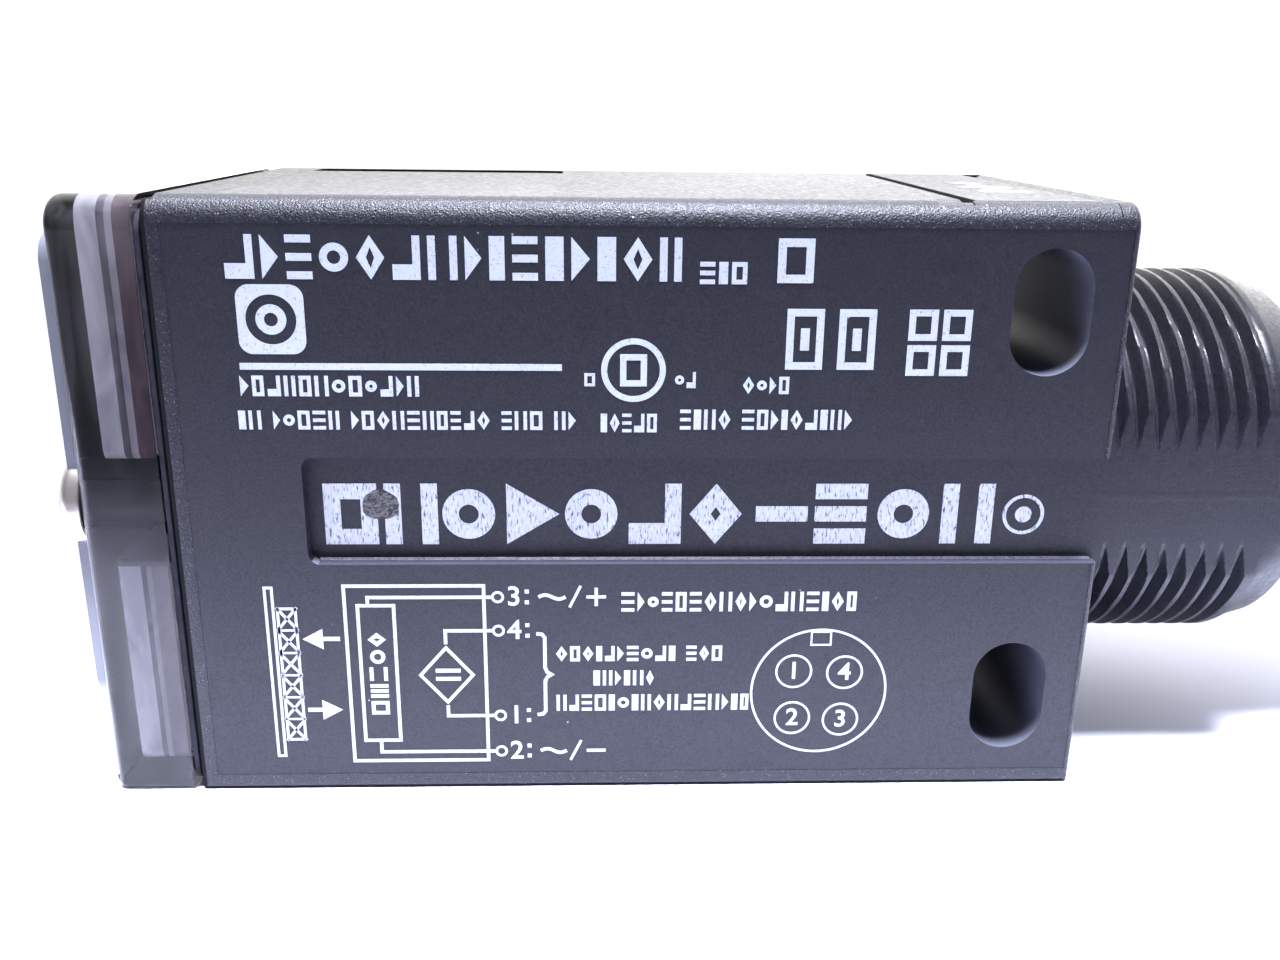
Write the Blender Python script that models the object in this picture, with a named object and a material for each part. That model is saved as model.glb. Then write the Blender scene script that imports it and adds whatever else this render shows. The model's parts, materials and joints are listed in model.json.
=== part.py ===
"""Box photoelectric sensor: a slotted plastic housing with a smoked lens cover, a threaded neck with a
quick-disconnect receptacle, an adjustment lid, and the optics and electronics inside.

Frame: origin under the middle of the bounding box, +X from the lens towards the connector, +Z up, the
label faces on -Y and +Y. Stations along X are measured from the housing's front plane, and the empty
SENSOR shifts them so that the whole object is centred.
"""

import math

import bmesh
import bpy
from mathutils import Vector

MM = 0.001

# Driving dimensions, in millimetres: stations along X, half-widths along Y, heights along Z.
HOUSING_LENGTH = 65.1
HOUSING_HALF_WIDTH = 17.75
HOUSING_HEIGHT = 43.0
TOP_EDGE_RADIUS = 1.8
EDGE_RADIUS = 0.4
WALL = 2.75
AXIS_Z = 21.5
GAP = 0.1
PAST = 1.0  # how far a cutter runs past the face it cuts

# The threaded neck, and the bore through it.
NECK_RADIUS = 15.0
NECK_ROOT_RADIUS = 14.08
NECK_PITCH = 1.5
NECK_TURNS = 8
NECK_FIRST_GROOVE = HOUSING_LENGTH + 2.27
NECK_GROOVE_MOUTH = 0.6
NECK_FLAT_HALF_WIDTH = 13.56
NECK_FLAT_START = HOUSING_LENGTH + 0.3
NECK_NOSE_RADIUS = 13.7
NECK_NOSE_TAPER = 1.2
NECK_END = 82.6
NECK_SIDES = 40
BORE_RADIUS = 11.6

# The two mounting slots through the width.
SLOT_X = 59.7
SLOT_HALF_WIDTH = 2.7
SLOT_HALF_LENGTH = 4.3
SLOT_HEIGHTS = (7.3, 35.8)
SLOT_WALL = 1.4

# The sunk band on each label face.
BAND_START = 9.1
BAND_LOW = 17.85
BAND_HIGH = 25.65
BAND_DEPTH = 1.04
CORNER_RADIUS = 0.8

# The chamber for the optics and the boards.
CAVITY_HALF_WIDTH = HOUSING_HALF_WIDTH - WALL
CAVITY_FLOOR = 2.6
CAVITY_ROOF = 40.0
CAVITY_END = 56.2
PASSAGE_HALF_WIDTH = 12.5
REAR_WALL = 1.4
POWER_FACE = -13.3
LOGIC_FACE = 13.3

# The lid, its bay and the adjusters under it.
BAY_START = 53.4
BAY_END = 63.8
BAY_HALF_WIDTH = 16.2
BAY_FLOOR = 40.85
NOTCH_INNER = 15.4
NOTCH_OUTER = HOUSING_HALF_WIDTH + PAST
NOTCH_LENGTH = 1.7
NOTCH_DEPTH = 0.35
LID_THICKNESS = 1.0
LID_FRONT_GAP = 0.25
LID_SIDE_GAP = 0.15
HINGE_X = 62.65
HINGE_Z = HOUSING_HEIGHT - LID_THICKNESS
HINGE_PIN_RADIUS = 0.4
HINGE_PIN_START = -16.8
HINGE_PIN_END = 17.2
SEAL_END = 61.3
SEAL_HALF_WIDTH = 16.0
SEAL_WIDTH = 1.4
WELL_START = 54.2
WELL_HALF_WIDTH = 10.0
WELL_TOP = 42.0
ADJUSTER_X = 55.1
ADJUSTER_TOP = 41.2
TRIMMER_Y = -7.0
SWITCH_Y = 6.0
SWITCH_TRAVEL = 2.0
ADJUSTER_BODY_TOP = CAVITY_ROOF - 0.4

# The indicator window in the top face, and the three lamps under it.
WINDOW_START = 4.4
WINDOW_END = 26.3
WINDOW_HALF_WIDTH = 15.5
WINDOW_FLOOR = 41.4
WINDOW_SINK = 0.05
WINDOW_GAP = 0.1
WINDOW_GROOVE = 3.7
INDICATOR_X = 22.3
INDICATOR_STEP = 6.5
INDICATOR_HOLE_RADIUS = 1.65

# The lens cover, the gasket behind it, and the lenses in its pockets.
GASKET_FRONT = -0.45
GASKET_BACK = -0.07
GASKET_MARGIN = 0.15
GASKET_WINDOW_HALF = 14.6
COVER_FRONT = -6.3
COVER_BACK = GASKET_FRONT - 0.05
COVER_LOW = 0.4
COVER_RADIUS = 1.2
PAD_FRONT = -7.4
PAD_LOW = 7.0
PAD_HIGH = 40.2
PAD_HALF_WIDTH = 15.4
PAD_RADIUS = 2.0
POCKET_FRONT = -4.4
POCKET_HALF_WIDTH = 16.3
UPPER_POCKET = (25.2, 41.0)
LOWER_POCKET = (2.1, 17.9)
LENS_GAP = 0.15
LENS_RIM = 1.4
LENS_BACK = -1.95
LENS_WEB = -3.1
LENS_DOME_RADIUS = 6.6
LENS_DOME_HEIGHT = 1.3
FILM_FRONT = -0.55
FILM_BACK = -0.25
FILM_HALF_WIDTH = 14.2

# The lens cover's screws and their bosses.
LENS_SCREW_Y = 14.0
LENS_SCREW_Z = 21.6
SCREW_HEAD_RADIUS = 3.0
SCREW_HEAD_FRONT = -8.4
SCREW_SHANK_RADIUS = 1.4
SCREW_TIP = 7.2
HEAD_HOLE_RADIUS = 3.3
SHANK_HOLE_RADIUS = 1.7
BOSS_HOLE_RADIUS = 1.5
BOSS_HOLE_END = 7.6
BOSS_LENGTH = 9.0
BOSS_INNER = 11.7
BOSS_HALF_HEIGHT = 3.0

# The baffle behind the lenses.
BAFFLE_START = 0.6
BAFFLE_END = 16.4
CHANNEL_MOUTH_RADIUS = 6.3
CHANNEL_END_RADIUS = 2.8
CHANNEL_TAPER_END = 14.5

# The quick-disconnect receptacle.
SHELL_START = 70.5
SHELL_BODY_RADIUS = 11.4
SHELL_RADIUS = 11.1
SHELL_ROOT_RADIUS = 10.25
SHELL_PITCH = 1.5875
SHELL_FIRST_GROOVE = 86.4
SHELL_TURNS = 5
SHELL_END = 96.0
SHELL_SIDES = 28
SHELL_BORE_RADIUS = 8.2
SOCKET_RADIUS = 9.2
SOCKET_FLOOR = 85.0
SEAL_X = 79.0
SEAL_ROOM = 0.8
SEAL_GROOVE_RADIUS = 10.3
SEAL_RING_RADIUS = 10.95
SEAL_CORD_RADIUS = 0.55
KEY_HALF_WIDTH = 1.0
KEY_REACH = 8.2
INSERT_START = 76.5
INSERT_RADIUS = 9.1
CONTACT_START = 72.0
CONTACT_END = 94.0
CONTACT_CIRCLE_RADIUS = 4.9
CONTACT_RADIUS = 1.15
CONTACT_TAIL_RADIUS = 0.9
CONTACT_ANGLES = (135.0, 45.0, -45.0, -135.0)
WIRE_RADIUS = 0.55
WIRE_LEAD = 9.0
WIRE_BOARD_ENDS = ((54.1, 20.4), (51.6, 20.4), (51.6, 15.2), (54.1, 15.2))

CENTRE_X = (SCREW_HEAD_FRONT + SHELL_END) / 2.0

FINISHES = {
    "black_plastic": ((0.028, 0.029, 0.033), 0.55, 0.0),
    "lid_plastic": ((0.032, 0.033, 0.037), 0.5, 0.0),
    "seal_rubber": ((0.012, 0.012, 0.012), 0.8, 0.0),
    "smoked_lens": ((0.10, 0.075, 0.085), 0.12, 0.0),
    "clear_lens": ((0.75, 0.77, 0.80), 0.2, 0.0),
    "polarizer_film": ((0.22, 0.20, 0.22), 0.25, 0.0),
    "steel": ((0.70, 0.69, 0.66), 0.3, 1.0),
    "brass": ((0.78, 0.58, 0.27), 0.3, 1.0),
    "black_metal": ((0.05, 0.05, 0.055), 0.4, 1.0),
    "insert_plastic": ((0.62, 0.50, 0.12), 0.5, 0.0),
    "board_green": ((0.03, 0.16, 0.08), 0.4, 0.0),
    "ferrite": ((0.07, 0.07, 0.075), 0.6, 0.0),
    "coil_tape": ((0.70, 0.52, 0.12), 0.4, 0.0),
    "capacitor_sleeve": ((0.03, 0.05, 0.14), 0.3, 0.0),
    "film_box": ((0.55, 0.15, 0.05), 0.4, 0.0),
    "varistor_blue": ((0.05, 0.14, 0.42), 0.4, 0.0),
    "chip_black": ((0.02, 0.02, 0.022), 0.45, 0.0),
    "trimmer_blue": ((0.04, 0.18, 0.50), 0.35, 0.0),
    "slider_white": ((0.75, 0.75, 0.72), 0.4, 0.0),
    "red_led": ((0.55, 0.03, 0.03), 0.15, 0.0),
    "green_led": ((0.05, 0.45, 0.10), 0.15, 0.0),
    "amber_led": ((0.70, 0.35, 0.03), 0.15, 0.0),
    "window_smoke": ((0.12, 0.11, 0.12), 0.15, 0.0),
    "wire_red": ((0.50, 0.03, 0.03), 0.45, 0.0),
    "wire_black": ((0.02, 0.02, 0.02), 0.45, 0.0),
    "wire_white": ((0.75, 0.75, 0.72), 0.45, 0.0),
    "wire_green": ((0.03, 0.30, 0.08), 0.45, 0.0),
}


def clear_scene():
    for old in list(bpy.data.objects):
        bpy.data.objects.remove(old, do_unlink=True)


def finish(name):
    """The material called name, made on first use."""
    found = bpy.data.materials.get(name)
    if found:
        return found
    colour, roughness, metallic = FINISHES[name]
    made = bpy.data.materials.new(name)
    made.use_nodes = True
    shader = made.node_tree.nodes["Principled BSDF"]
    shader.inputs["Base Color"].default_value = (*colour, 1.0)
    shader.inputs["Roughness"].default_value = roughness
    shader.inputs["Metallic"].default_value = metallic
    return made


def add_object(name, mesh_data, material, at=(0.0, 0.0, 0.0), smooth=False):
    """Links a bmesh, whose lengths are in millimetres, as an object standing at a point in millimetres."""
    bmesh.ops.scale(mesh_data, vec=(MM, MM, MM), verts=mesh_data.verts)
    bmesh.ops.recalc_face_normals(mesh_data, faces=mesh_data.faces)
    mesh = bpy.data.meshes.new(name)
    mesh_data.to_mesh(mesh)
    mesh_data.free()
    if smooth:
        mesh.shade_smooth()
        mesh.set_sharp_from_angle(angle=math.radians(35))
    if material:
        mesh.materials.append(finish(material))
    made = bpy.data.objects.new(name, mesh)
    bpy.context.scene.collection.objects.link(made)
    made.parent = bpy.data.objects["SENSOR"]
    made.location = Vector(at) * MM
    return made


def box(low, high):
    """A bmesh box between two corners."""
    made = bmesh.new()
    bmesh.ops.create_cube(made, size=1.0)
    low, high = Vector(low), Vector(high)
    bmesh.ops.scale(made, vec=high - low, verts=made.verts)
    bmesh.ops.translate(made, vec=(low + high) / 2.0, verts=made.verts)
    return made


def round_edges(mesh_data, radius, segments, keep=lambda a, b: True):
    """Rounds the edges whose two ends pass keep."""
    edges = [e for e in mesh_data.edges if keep(e.verts[0].co, e.verts[1].co)]
    bmesh.ops.bevel(mesh_data, geom=edges, offset=radius, segments=segments, profile=0.5, affect="EDGES")
    return mesh_data


def rounded_box(low, high, radius, segments=2):
    return round_edges(box(low, high), radius, segments)


def prism(outline, start, end, axis="X"):
    """A bmesh prism: a flat outline of (u, v) points drawn out along an axis. u, v are Y, Z along X;
    X, Z along Y; and X, Y along Z."""
    place = {
        "X": lambda u, v, w: (w, u, v),
        "Y": lambda u, v, w: (u, w, v),
        "Z": lambda u, v, w: (u, v, w),
    }[axis]
    made = bmesh.new()
    lower = [made.verts.new(place(u, v, start)) for u, v in outline]
    upper = [made.verts.new(place(u, v, end)) for u, v in outline]
    made.faces.new(lower)
    made.faces.new(upper)
    for i in range(len(outline)):
        j = (i + 1) % len(outline)
        made.faces.new((lower[i], lower[j], upper[j], upper[i]))
    return made


def arc(centre, radius, first, last, steps):
    """Points on an arc between two angles in degrees."""
    points = []
    for i in range(steps + 1):
        angle = math.radians(first + (last - first) * i / steps)
        points.append((centre[0] + radius * math.cos(angle), centre[1] + radius * math.sin(angle)))
    return points


def slot_outline(centre, half_width, half_length, steps=8):
    """A slot with round ends, its length along the second coordinate."""
    reach = half_length - half_width
    upper = arc((centre[0], centre[1] + reach), half_width, 0.0, 180.0, steps)
    lower = arc((centre[0], centre[1] - reach), half_width, 180.0, 360.0, steps)
    return upper + lower


def rounded_outline(low, high, radius, steps=3):
    """A rectangle with round corners."""
    corners = (
        (high[0] - radius, high[1] - radius, 0.0),
        (low[0] + radius, high[1] - radius, 90.0),
        (low[0] + radius, low[1] + radius, 180.0),
        (high[0] - radius, low[1] + radius, 270.0),
    )
    points = []
    for u, v, turn in corners:
        points += arc((u, v), radius, turn, turn + 90.0, steps)
    return points


def turned(profile, sides, axis="X", centre=(0.0, 0.0), closed=False):
    """A bmesh turned about an axis from (station, radius) points. A profile that isn't closed has its
    two ends capped, and a closed one is a ring."""
    place = {
        "X": lambda w, u, v: (w, centre[0] + u, centre[1] + v),
        "Y": lambda w, u, v: (centre[0] + u, w, centre[1] + v),
        "Z": lambda w, u, v: (centre[0] + u, centre[1] + v, w),
    }[axis]
    made = bmesh.new()
    rings = []
    for station, radius in profile:
        ring = []
        for i in range(sides):
            angle = 2.0 * math.pi * (i + 0.5) / sides
            ring.append(made.verts.new(place(station, radius * math.cos(angle), radius * math.sin(angle))))
        rings.append(ring)
    pairs = list(zip(rings, rings[1:]))
    if closed:
        pairs.append((rings[-1], rings[0]))
    else:
        made.faces.new(rings[0])
        made.faces.new(rings[-1])
    for first, second in pairs:
        for i in range(sides):
            j = (i + 1) % sides
            made.faces.new((first[i], first[j], second[j], second[i]))
    return made


def boolean(target, mesh_data, operation="DIFFERENCE"):
    """Cuts a bmesh from an object, or joins it on."""
    tool = add_object(f"cut_{target.name}_{len(target.modifiers)}", mesh_data, None)
    tool.hide_render = True
    tool.display_type = "WIRE"
    modifier = target.modifiers.new(operation.title(), "BOOLEAN")
    modifier.operation = operation
    modifier.solver = "EXACT"
    modifier.object = tool


def v_groove_profile(first, pitch, count, crest, root, mouth):
    """Points of a row of V grooves, with a narrow flat at the bottom of each, cut into a crest radius."""
    bottom = 0.1
    points = []
    for i in range(count):
        middle = first + pitch * i
        points += [(middle - mouth, crest), (middle - bottom, root)]
        points += [(middle + bottom, root), (middle + mouth, crest)]
    return points


def housing_body():
    """The block: long top edges well rounded, foot and back edges a little, front edges left square."""
    block = box((0.0, -HOUSING_HALF_WIDTH, 0.0), (HOUSING_LENGTH, HOUSING_HALF_WIDTH, HOUSING_HEIGHT))
    top = HOUSING_HEIGHT - GAP
    round_edges(block, TOP_EDGE_RADIUS, 3, lambda a, b: abs(a.x - b.x) > 1.0 and min(a.z, b.z) > top)
    round_edges(block, EDGE_RADIUS, 2, lambda a, b: min(a.x, b.x) > HOUSING_LENGTH - GAP)
    round_edges(block, EDGE_RADIUS, 2, lambda a, b: abs(a.x - b.x) > 1.0 and max(a.z, b.z) < GAP)
    return add_object("housing", block, "black_plastic", smooth=True)


def add_neck(housing):
    """The threaded neck, with a flat on each label side."""
    profile = [(HOUSING_LENGTH - PAST, NECK_RADIUS)]
    profile += v_groove_profile(NECK_FIRST_GROOVE, NECK_PITCH, NECK_TURNS, NECK_RADIUS, NECK_ROOT_RADIUS,
                                NECK_GROOVE_MOUTH)
    shoulder = NECK_FIRST_GROOVE + NECK_PITCH * (NECK_TURNS - 1) + 2.0 * NECK_NOSE_TAPER
    profile += [(shoulder, NECK_RADIUS), (shoulder + NECK_NOSE_TAPER, NECK_NOSE_RADIUS)]
    profile.append((NECK_END, NECK_NOSE_RADIUS))
    boolean(housing, turned(profile, NECK_SIDES, centre=(0.0, AXIS_Z)), "UNION")
    reach = NECK_RADIUS + PAST
    for side in (-1.0, 1.0):
        inner, outer = sorted((side * NECK_FLAT_HALF_WIDTH, side * reach))
        flat = box((NECK_FLAT_START, inner, AXIS_Z - reach), (NECK_END + PAST, outer, AXIS_Z + reach))
        boolean(housing, flat)


def cut_inside(housing):
    """The front chamber, the passage between the slot walls and the neck's bore, with the screw bosses."""
    half = CAVITY_HALF_WIDTH
    boolean(housing, box((-PAST, -half, CAVITY_FLOOR), (CAVITY_END, half, CAVITY_ROOF)))
    low = SLOT_HEIGHTS[0] + SLOT_HALF_LENGTH + SLOT_WALL
    high = SLOT_HEIGHTS[1] - SLOT_HALF_LENGTH - SLOT_WALL
    passage_end = HOUSING_LENGTH - REAR_WALL
    passage = box((CAVITY_END - PAST, -PASSAGE_HALF_WIDTH, low), (passage_end, PASSAGE_HALF_WIDTH, high))
    boolean(housing, passage)
    bore = [(passage_end - GAP, BORE_RADIUS), (NECK_END + PAST, BORE_RADIUS)]
    boolean(housing, turned(bore, NECK_SIDES, centre=(0.0, AXIS_Z)))
    foot = 0.05
    for side in (-1.0, 1.0):
        inner, outer = sorted((side * BOSS_INNER, side * (half + 0.6)))
        low, high = LENS_SCREW_Z - BOSS_HALF_HEIGHT, LENS_SCREW_Z + BOSS_HALF_HEIGHT
        boolean(housing, box((foot, inner, low), (BOSS_LENGTH, outer, high)), "UNION")
        thread_hole = [(-PAST, BOSS_HOLE_RADIUS), (BOSS_HOLE_END, BOSS_HOLE_RADIUS)]
        boolean(housing, turned(thread_hole, 16, centre=(side * LENS_SCREW_Y, LENS_SCREW_Z)))


def cut_slots(housing):
    """The two mounting slots, right through the width."""
    for height in SLOT_HEIGHTS:
        outline = slot_outline((SLOT_X, height), SLOT_HALF_WIDTH, SLOT_HALF_LENGTH)
        boolean(housing, prism(outline, -HOUSING_HALF_WIDTH - PAST, HOUSING_HALF_WIDTH + PAST, "Y"))


def cut_bands(housing):
    """The sunk band on each label face, open at the back."""
    for side in (-1.0, 1.0):
        floor = side * (HOUSING_HALF_WIDTH - BAND_DEPTH)
        end = HOUSING_LENGTH + 2.0 * PAST
        outline = rounded_outline((BAND_START, BAND_LOW), (end, BAND_HIGH), CORNER_RADIUS)
        boolean(housing, prism(outline, *sorted((floor, side * (HOUSING_HALF_WIDTH + PAST))), "Y"))


def cut_window_recess(housing):
    """The window's recess in the top face, with a light hole over each lamp."""
    half = WINDOW_HALF_WIDTH
    recess = rounded_outline((WINDOW_START, -half), (WINDOW_END, half), CORNER_RADIUS)
    boolean(housing, prism(recess, WINDOW_FLOOR, HOUSING_HEIGHT + PAST, "Z"))
    for i in (-1, 0, 1):
        hole = [(CAVITY_ROOF - PAST, INDICATOR_HOLE_RADIUS), (WINDOW_FLOOR + PAST, INDICATOR_HOLE_RADIUS)]
        boolean(housing, turned(hole, 16, "Z", (INDICATOR_X, i * INDICATOR_STEP)))


def cut_lid_bay(housing):
    """The lid's bay with the well under it, two notches to lift the lid by, and the hinge pin's hole."""
    top = HOUSING_HEIGHT + PAST
    boolean(housing, box((BAY_START, -BAY_HALF_WIDTH, BAY_FLOOR), (BAY_END, BAY_HALF_WIDTH, top)))
    well_end = CAVITY_END - GAP / 2.0
    well_floor = CAVITY_ROOF - PAST
    boolean(housing, box((WELL_START, -WELL_HALF_WIDTH, well_floor), (well_end, WELL_HALF_WIDTH, WELL_TOP)))
    for side in (-1.0, 1.0):
        near, far = sorted((side * NOTCH_INNER, side * NOTCH_OUTER))
        low = (BAY_START - NOTCH_LENGTH, near, HOUSING_HEIGHT - NOTCH_DEPTH)
        boolean(housing, box(low, (BAY_START + NOTCH_DEPTH, far, top)))
    radius = HINGE_PIN_RADIUS + GAP
    pin_hole = [(HINGE_PIN_START - GAP, radius), (HOUSING_HALF_WIDTH + PAST, radius)]
    boolean(housing, turned(pin_hole, 12, "Y", (HINGE_X, HINGE_Z)))


def make_housing():
    housing = housing_body()
    add_neck(housing)
    cut_inside(housing)
    cut_slots(housing)
    cut_bands(housing)
    cut_window_recess(housing)
    cut_lid_bay(housing)


def make_lid():
    """The lid with its hinge barrel and its pin. The lid's origin is on the hinge axis."""
    reach = BAY_START + LID_FRONT_GAP - HINGE_X
    barrel = LID_THICKNESS
    outline = [(reach, barrel), (reach, 0.0)] + arc((0.0, 0.0), barrel, 180.0, 450.0, 15)
    half = BAY_HALF_WIDTH - LID_SIDE_GAP
    hinge = (HINGE_X, 0.0, HINGE_Z)
    lid = add_object("adjustment_cover", prism(outline, -half, half, "Y"), "lid_plastic", hinge, True)
    radius = HINGE_PIN_RADIUS + 0.8 * GAP
    bore = turned([(-half - PAST, radius), (half + PAST, radius)], 12, "Y", (HINGE_X, HINGE_Z))
    boolean(lid, bore)
    pin = [(HINGE_PIN_START, HINGE_PIN_RADIUS), (HINGE_PIN_END, HINGE_PIN_RADIUS)]
    add_object("cover_hinge_pin", turned(pin, 12, "Y"), "steel", hinge, True)


def make_lid_seal():
    """The flat frame of rubber that the closed lid lies on."""
    low, high = BAY_FLOOR + GAP, HINGE_Z - GAP
    radius = CORNER_RADIUS / 2.0
    outer = rounded_outline((BAY_START + GAP, -SEAL_HALF_WIDTH), (SEAL_END, SEAL_HALF_WIDTH), radius)
    seal = add_object("cover_gasket", prism(outer, low, high, "Z"), "seal_rubber")
    inner_half = SEAL_HALF_WIDTH - SEAL_WIDTH
    inner = rounded_outline((WELL_START, -inner_half), (SEAL_END - PAST, inner_half), radius)
    boolean(seal, prism(inner, low - PAST, high + PAST, "Z"))


def make_lens_cover():
    """The smoked cap: two pockets behind, a raised pad in front, and two screw holes."""
    half = HOUSING_HALF_WIDTH - GAP / 2.0
    block = box((COVER_FRONT, -half, COVER_LOW), (COVER_BACK, half, HOUSING_HEIGHT - GAP / 2.0))
    round_edges(block, COVER_RADIUS, 3, lambda a, b: min(a.x, b.x) < COVER_FRONT + 1.0)
    cap = add_object("lens_cover", block, "smoked_lens", smooth=True)
    pad = rounded_outline((-PAD_HALF_WIDTH, PAD_LOW), (PAD_HALF_WIDTH, PAD_HIGH), PAD_RADIUS)
    boolean(cap, prism(pad, PAD_FRONT, COVER_FRONT + PAST, "X"), "UNION")
    for low, high in (UPPER_POCKET, LOWER_POCKET):
        pocket = rounded_outline((-POCKET_HALF_WIDTH, low), (POCKET_HALF_WIDTH, high), CORNER_RADIUS)
        boolean(cap, prism(pocket, POCKET_FRONT, COVER_BACK + PAST, "X"))
    for side in (-1.0, 1.0):
        hole = [(PAD_FRONT - PAST, HEAD_HOLE_RADIUS), (COVER_FRONT, HEAD_HOLE_RADIUS)]
        hole += [(COVER_FRONT, SHANK_HOLE_RADIUS), (COVER_BACK + PAST, SHANK_HOLE_RADIUS)]
        boolean(cap, turned(hole, 24, centre=(side * LENS_SCREW_Y, LENS_SCREW_Z)))


def make_lens_gasket():
    """A thin sheet between the cover and the housing, with a window behind each lens."""
    half = HOUSING_HALF_WIDTH - GASKET_MARGIN
    top = HOUSING_HEIGHT - GASKET_MARGIN
    sheet = rounded_outline((-half, 2.0 * GASKET_MARGIN), (half, top), COVER_RADIUS)
    gasket = add_object("lens_gasket", prism(sheet, GASKET_FRONT + 0.03, GASKET_BACK, "X"), "seal_rubber")
    for low, high in (UPPER_POCKET, LOWER_POCKET):
        window = rounded_outline((-GASKET_WINDOW_HALF, low), (GASKET_WINDOW_HALF, high), CORNER_RADIUS)
        boolean(gasket, prism(window, GASKET_FRONT - PAST, GASKET_BACK + PAST, "X"))
    for side in (-1.0, 1.0):
        hole = [(GASKET_FRONT - PAST, SHANK_HOLE_RADIUS), (GASKET_BACK + PAST, SHANK_HOLE_RADIUS)]
        boolean(gasket, turned(hole, 16, centre=(side * LENS_SCREW_Y, LENS_SCREW_Z)))


def cross_recess(reach, width, depth):
    """A cross of two bars, for a screw head's drive, its mouth at x = 0 and its floor at x = depth."""
    w = width / 2.0
    outline = [(w, w), (w, reach), (-w, reach), (-w, w), (-reach, w), (-reach, -w), (-w, -w), (-w, -reach)]
    outline += [(w, -reach), (w, -w), (reach, -w), (reach, w)]
    return prism(outline, -PAST, depth, "X")


def make_lens_screws():
    """Pan-head screws from the cover's face into the housing's bosses, with a cross recess."""
    under_head = COVER_FRONT - GAP
    crown = ((0.0, 1.4), (0.25, 2.2), (0.75, 2.8), (1.2, SCREW_HEAD_RADIUS))
    head = [(SCREW_HEAD_FRONT + depth, radius) for depth, radius in crown]
    head.append((under_head, SCREW_HEAD_RADIUS))
    shank = [(under_head, SCREW_SHANK_RADIUS), (SCREW_TIP - 0.9, SCREW_SHANK_RADIUS), (SCREW_TIP, 0.8)]
    for name, side in (("lens_screw_left", -1.0), ("lens_screw_right", 1.0)):
        axis = (side * LENS_SCREW_Y, LENS_SCREW_Z)
        screw = add_object(name, turned(head + shank, 24, centre=axis), "steel", smooth=True)
        drive = cross_recess(1.5, 0.55, 1.1)
        bmesh.ops.translate(drive, vec=(SCREW_HEAD_FRONT, *axis), verts=drive.verts)
        boolean(screw, drive)


def make_lenses():
    """In each pocket a lens: a tray-shaped block with a dome inside it. A polarizing film is behind it."""
    for name, (low, high) in (("receiver", UPPER_POCKET), ("emitter", LOWER_POCKET)):
        axis = (0.0, (low + high) / 2.0)
        half = POCKET_HALF_WIDTH - LENS_GAP
        rim = rounded_outline((-half, low + LENS_GAP), (half, high - LENS_GAP), CORNER_RADIUS)
        front = POCKET_FRONT + GAP
        lens = add_object(f"{name}_lens", prism(rim, front, LENS_BACK, "X"), "clear_lens", smooth=True)
        reach = half - LENS_RIM
        tray = rounded_outline((-reach, low + LENS_RIM), (reach, high - LENS_RIM), CORNER_RADIUS)
        boolean(lens, prism(tray, LENS_WEB, LENS_BACK + PAST, "X"))
        turns = [math.radians(15.0 * i) for i in range(6)]
        foot = LENS_WEB - GAP
        dome = [(foot + LENS_DOME_HEIGHT * math.sin(turn), LENS_DOME_RADIUS * math.cos(turn))
                for turn in turns]
        boolean(lens, turned([(LENS_WEB - 0.5, LENS_DOME_RADIUS)] + dome, 32, centre=axis), "UNION")
        film = rounded_outline((-FILM_HALF_WIDTH, low + 0.4), (FILM_HALF_WIDTH, high - 0.4), CORNER_RADIUS)
        add_object(f"{name}_polarizer", prism(film, FILM_FRONT, FILM_BACK, "X"), "polarizer_film")


def make_optics():
    """The black baffle with a tapered channel behind each lens, the emitter and the receiver."""
    baffle = rounded_box((BAFFLE_START, -11.4, 3.2), (BAFFLE_END, 11.4, 39.6), 0.5, 1)
    block = add_object("optics_block", baffle, "black_plastic")
    for low, high in (UPPER_POCKET, LOWER_POCKET):
        channel = [(BAFFLE_START - PAST, CHANNEL_MOUTH_RADIUS), (CHANNEL_TAPER_END, CHANNEL_END_RADIUS)]
        channel.append((BAFFLE_END + PAST, CHANNEL_END_RADIUS))
        boolean(block, turned(channel, 24, centre=(0.0, (low + high) / 2.0)))
    emitter_axis = (0.0, sum(LOWER_POCKET) / 2.0)
    lamp = [(11.9, 0.6), (12.3, 1.6), (12.9, 2.2), (13.8, 2.5), (17.2, 2.5)]
    add_object("emitter_led", turned(lamp, 20, centre=emitter_axis), "red_led", smooth=True)
    receiver_axis = (0.0, sum(UPPER_POCKET) / 2.0)
    cell = [(14.0, 1.7), (14.4, 1.9), (16.2, 1.9), (16.2, 2.5), (17.2, 2.5)]
    add_object("receiver_photodiode", turned(cell, 20, centre=receiver_axis), "chip_black", smooth=True)


PLAIN_BLOCKS = (
    ("optics_board", (17.3, -14.3, 3.2), (18.5, 14.3, 35.4), 0.15, "board_green"),
    ("power_board", (19.4, -14.7, 3.4), (54.8, POWER_FACE, 30.6), 0.15, "board_green"),
    ("logic_board", (19.4, LOGIC_FACE, 3.4), (54.8, 14.7, 30.6), 0.15, "board_green"),
    ("indicator_board", (19.0, -11.5, 35.6), (29.0, 11.5, 36.6), 0.15, "board_green"),
    ("board_header", (48.0, POWER_FACE + GAP, 26.0), (50.6, LOGIC_FACE - GAP, 28.6), 0.3, "chip_black"),
    ("film_capacitor", (40.0, POWER_FACE + GAP, 17.5), (45.6, -2.0, 30.0), 0.5, "film_box"),
)


def make_boards():
    for name, low, high, radius, material in PLAIN_BLOCKS:
        add_object(name, rounded_box(low, high, radius, 1), material)


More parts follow.
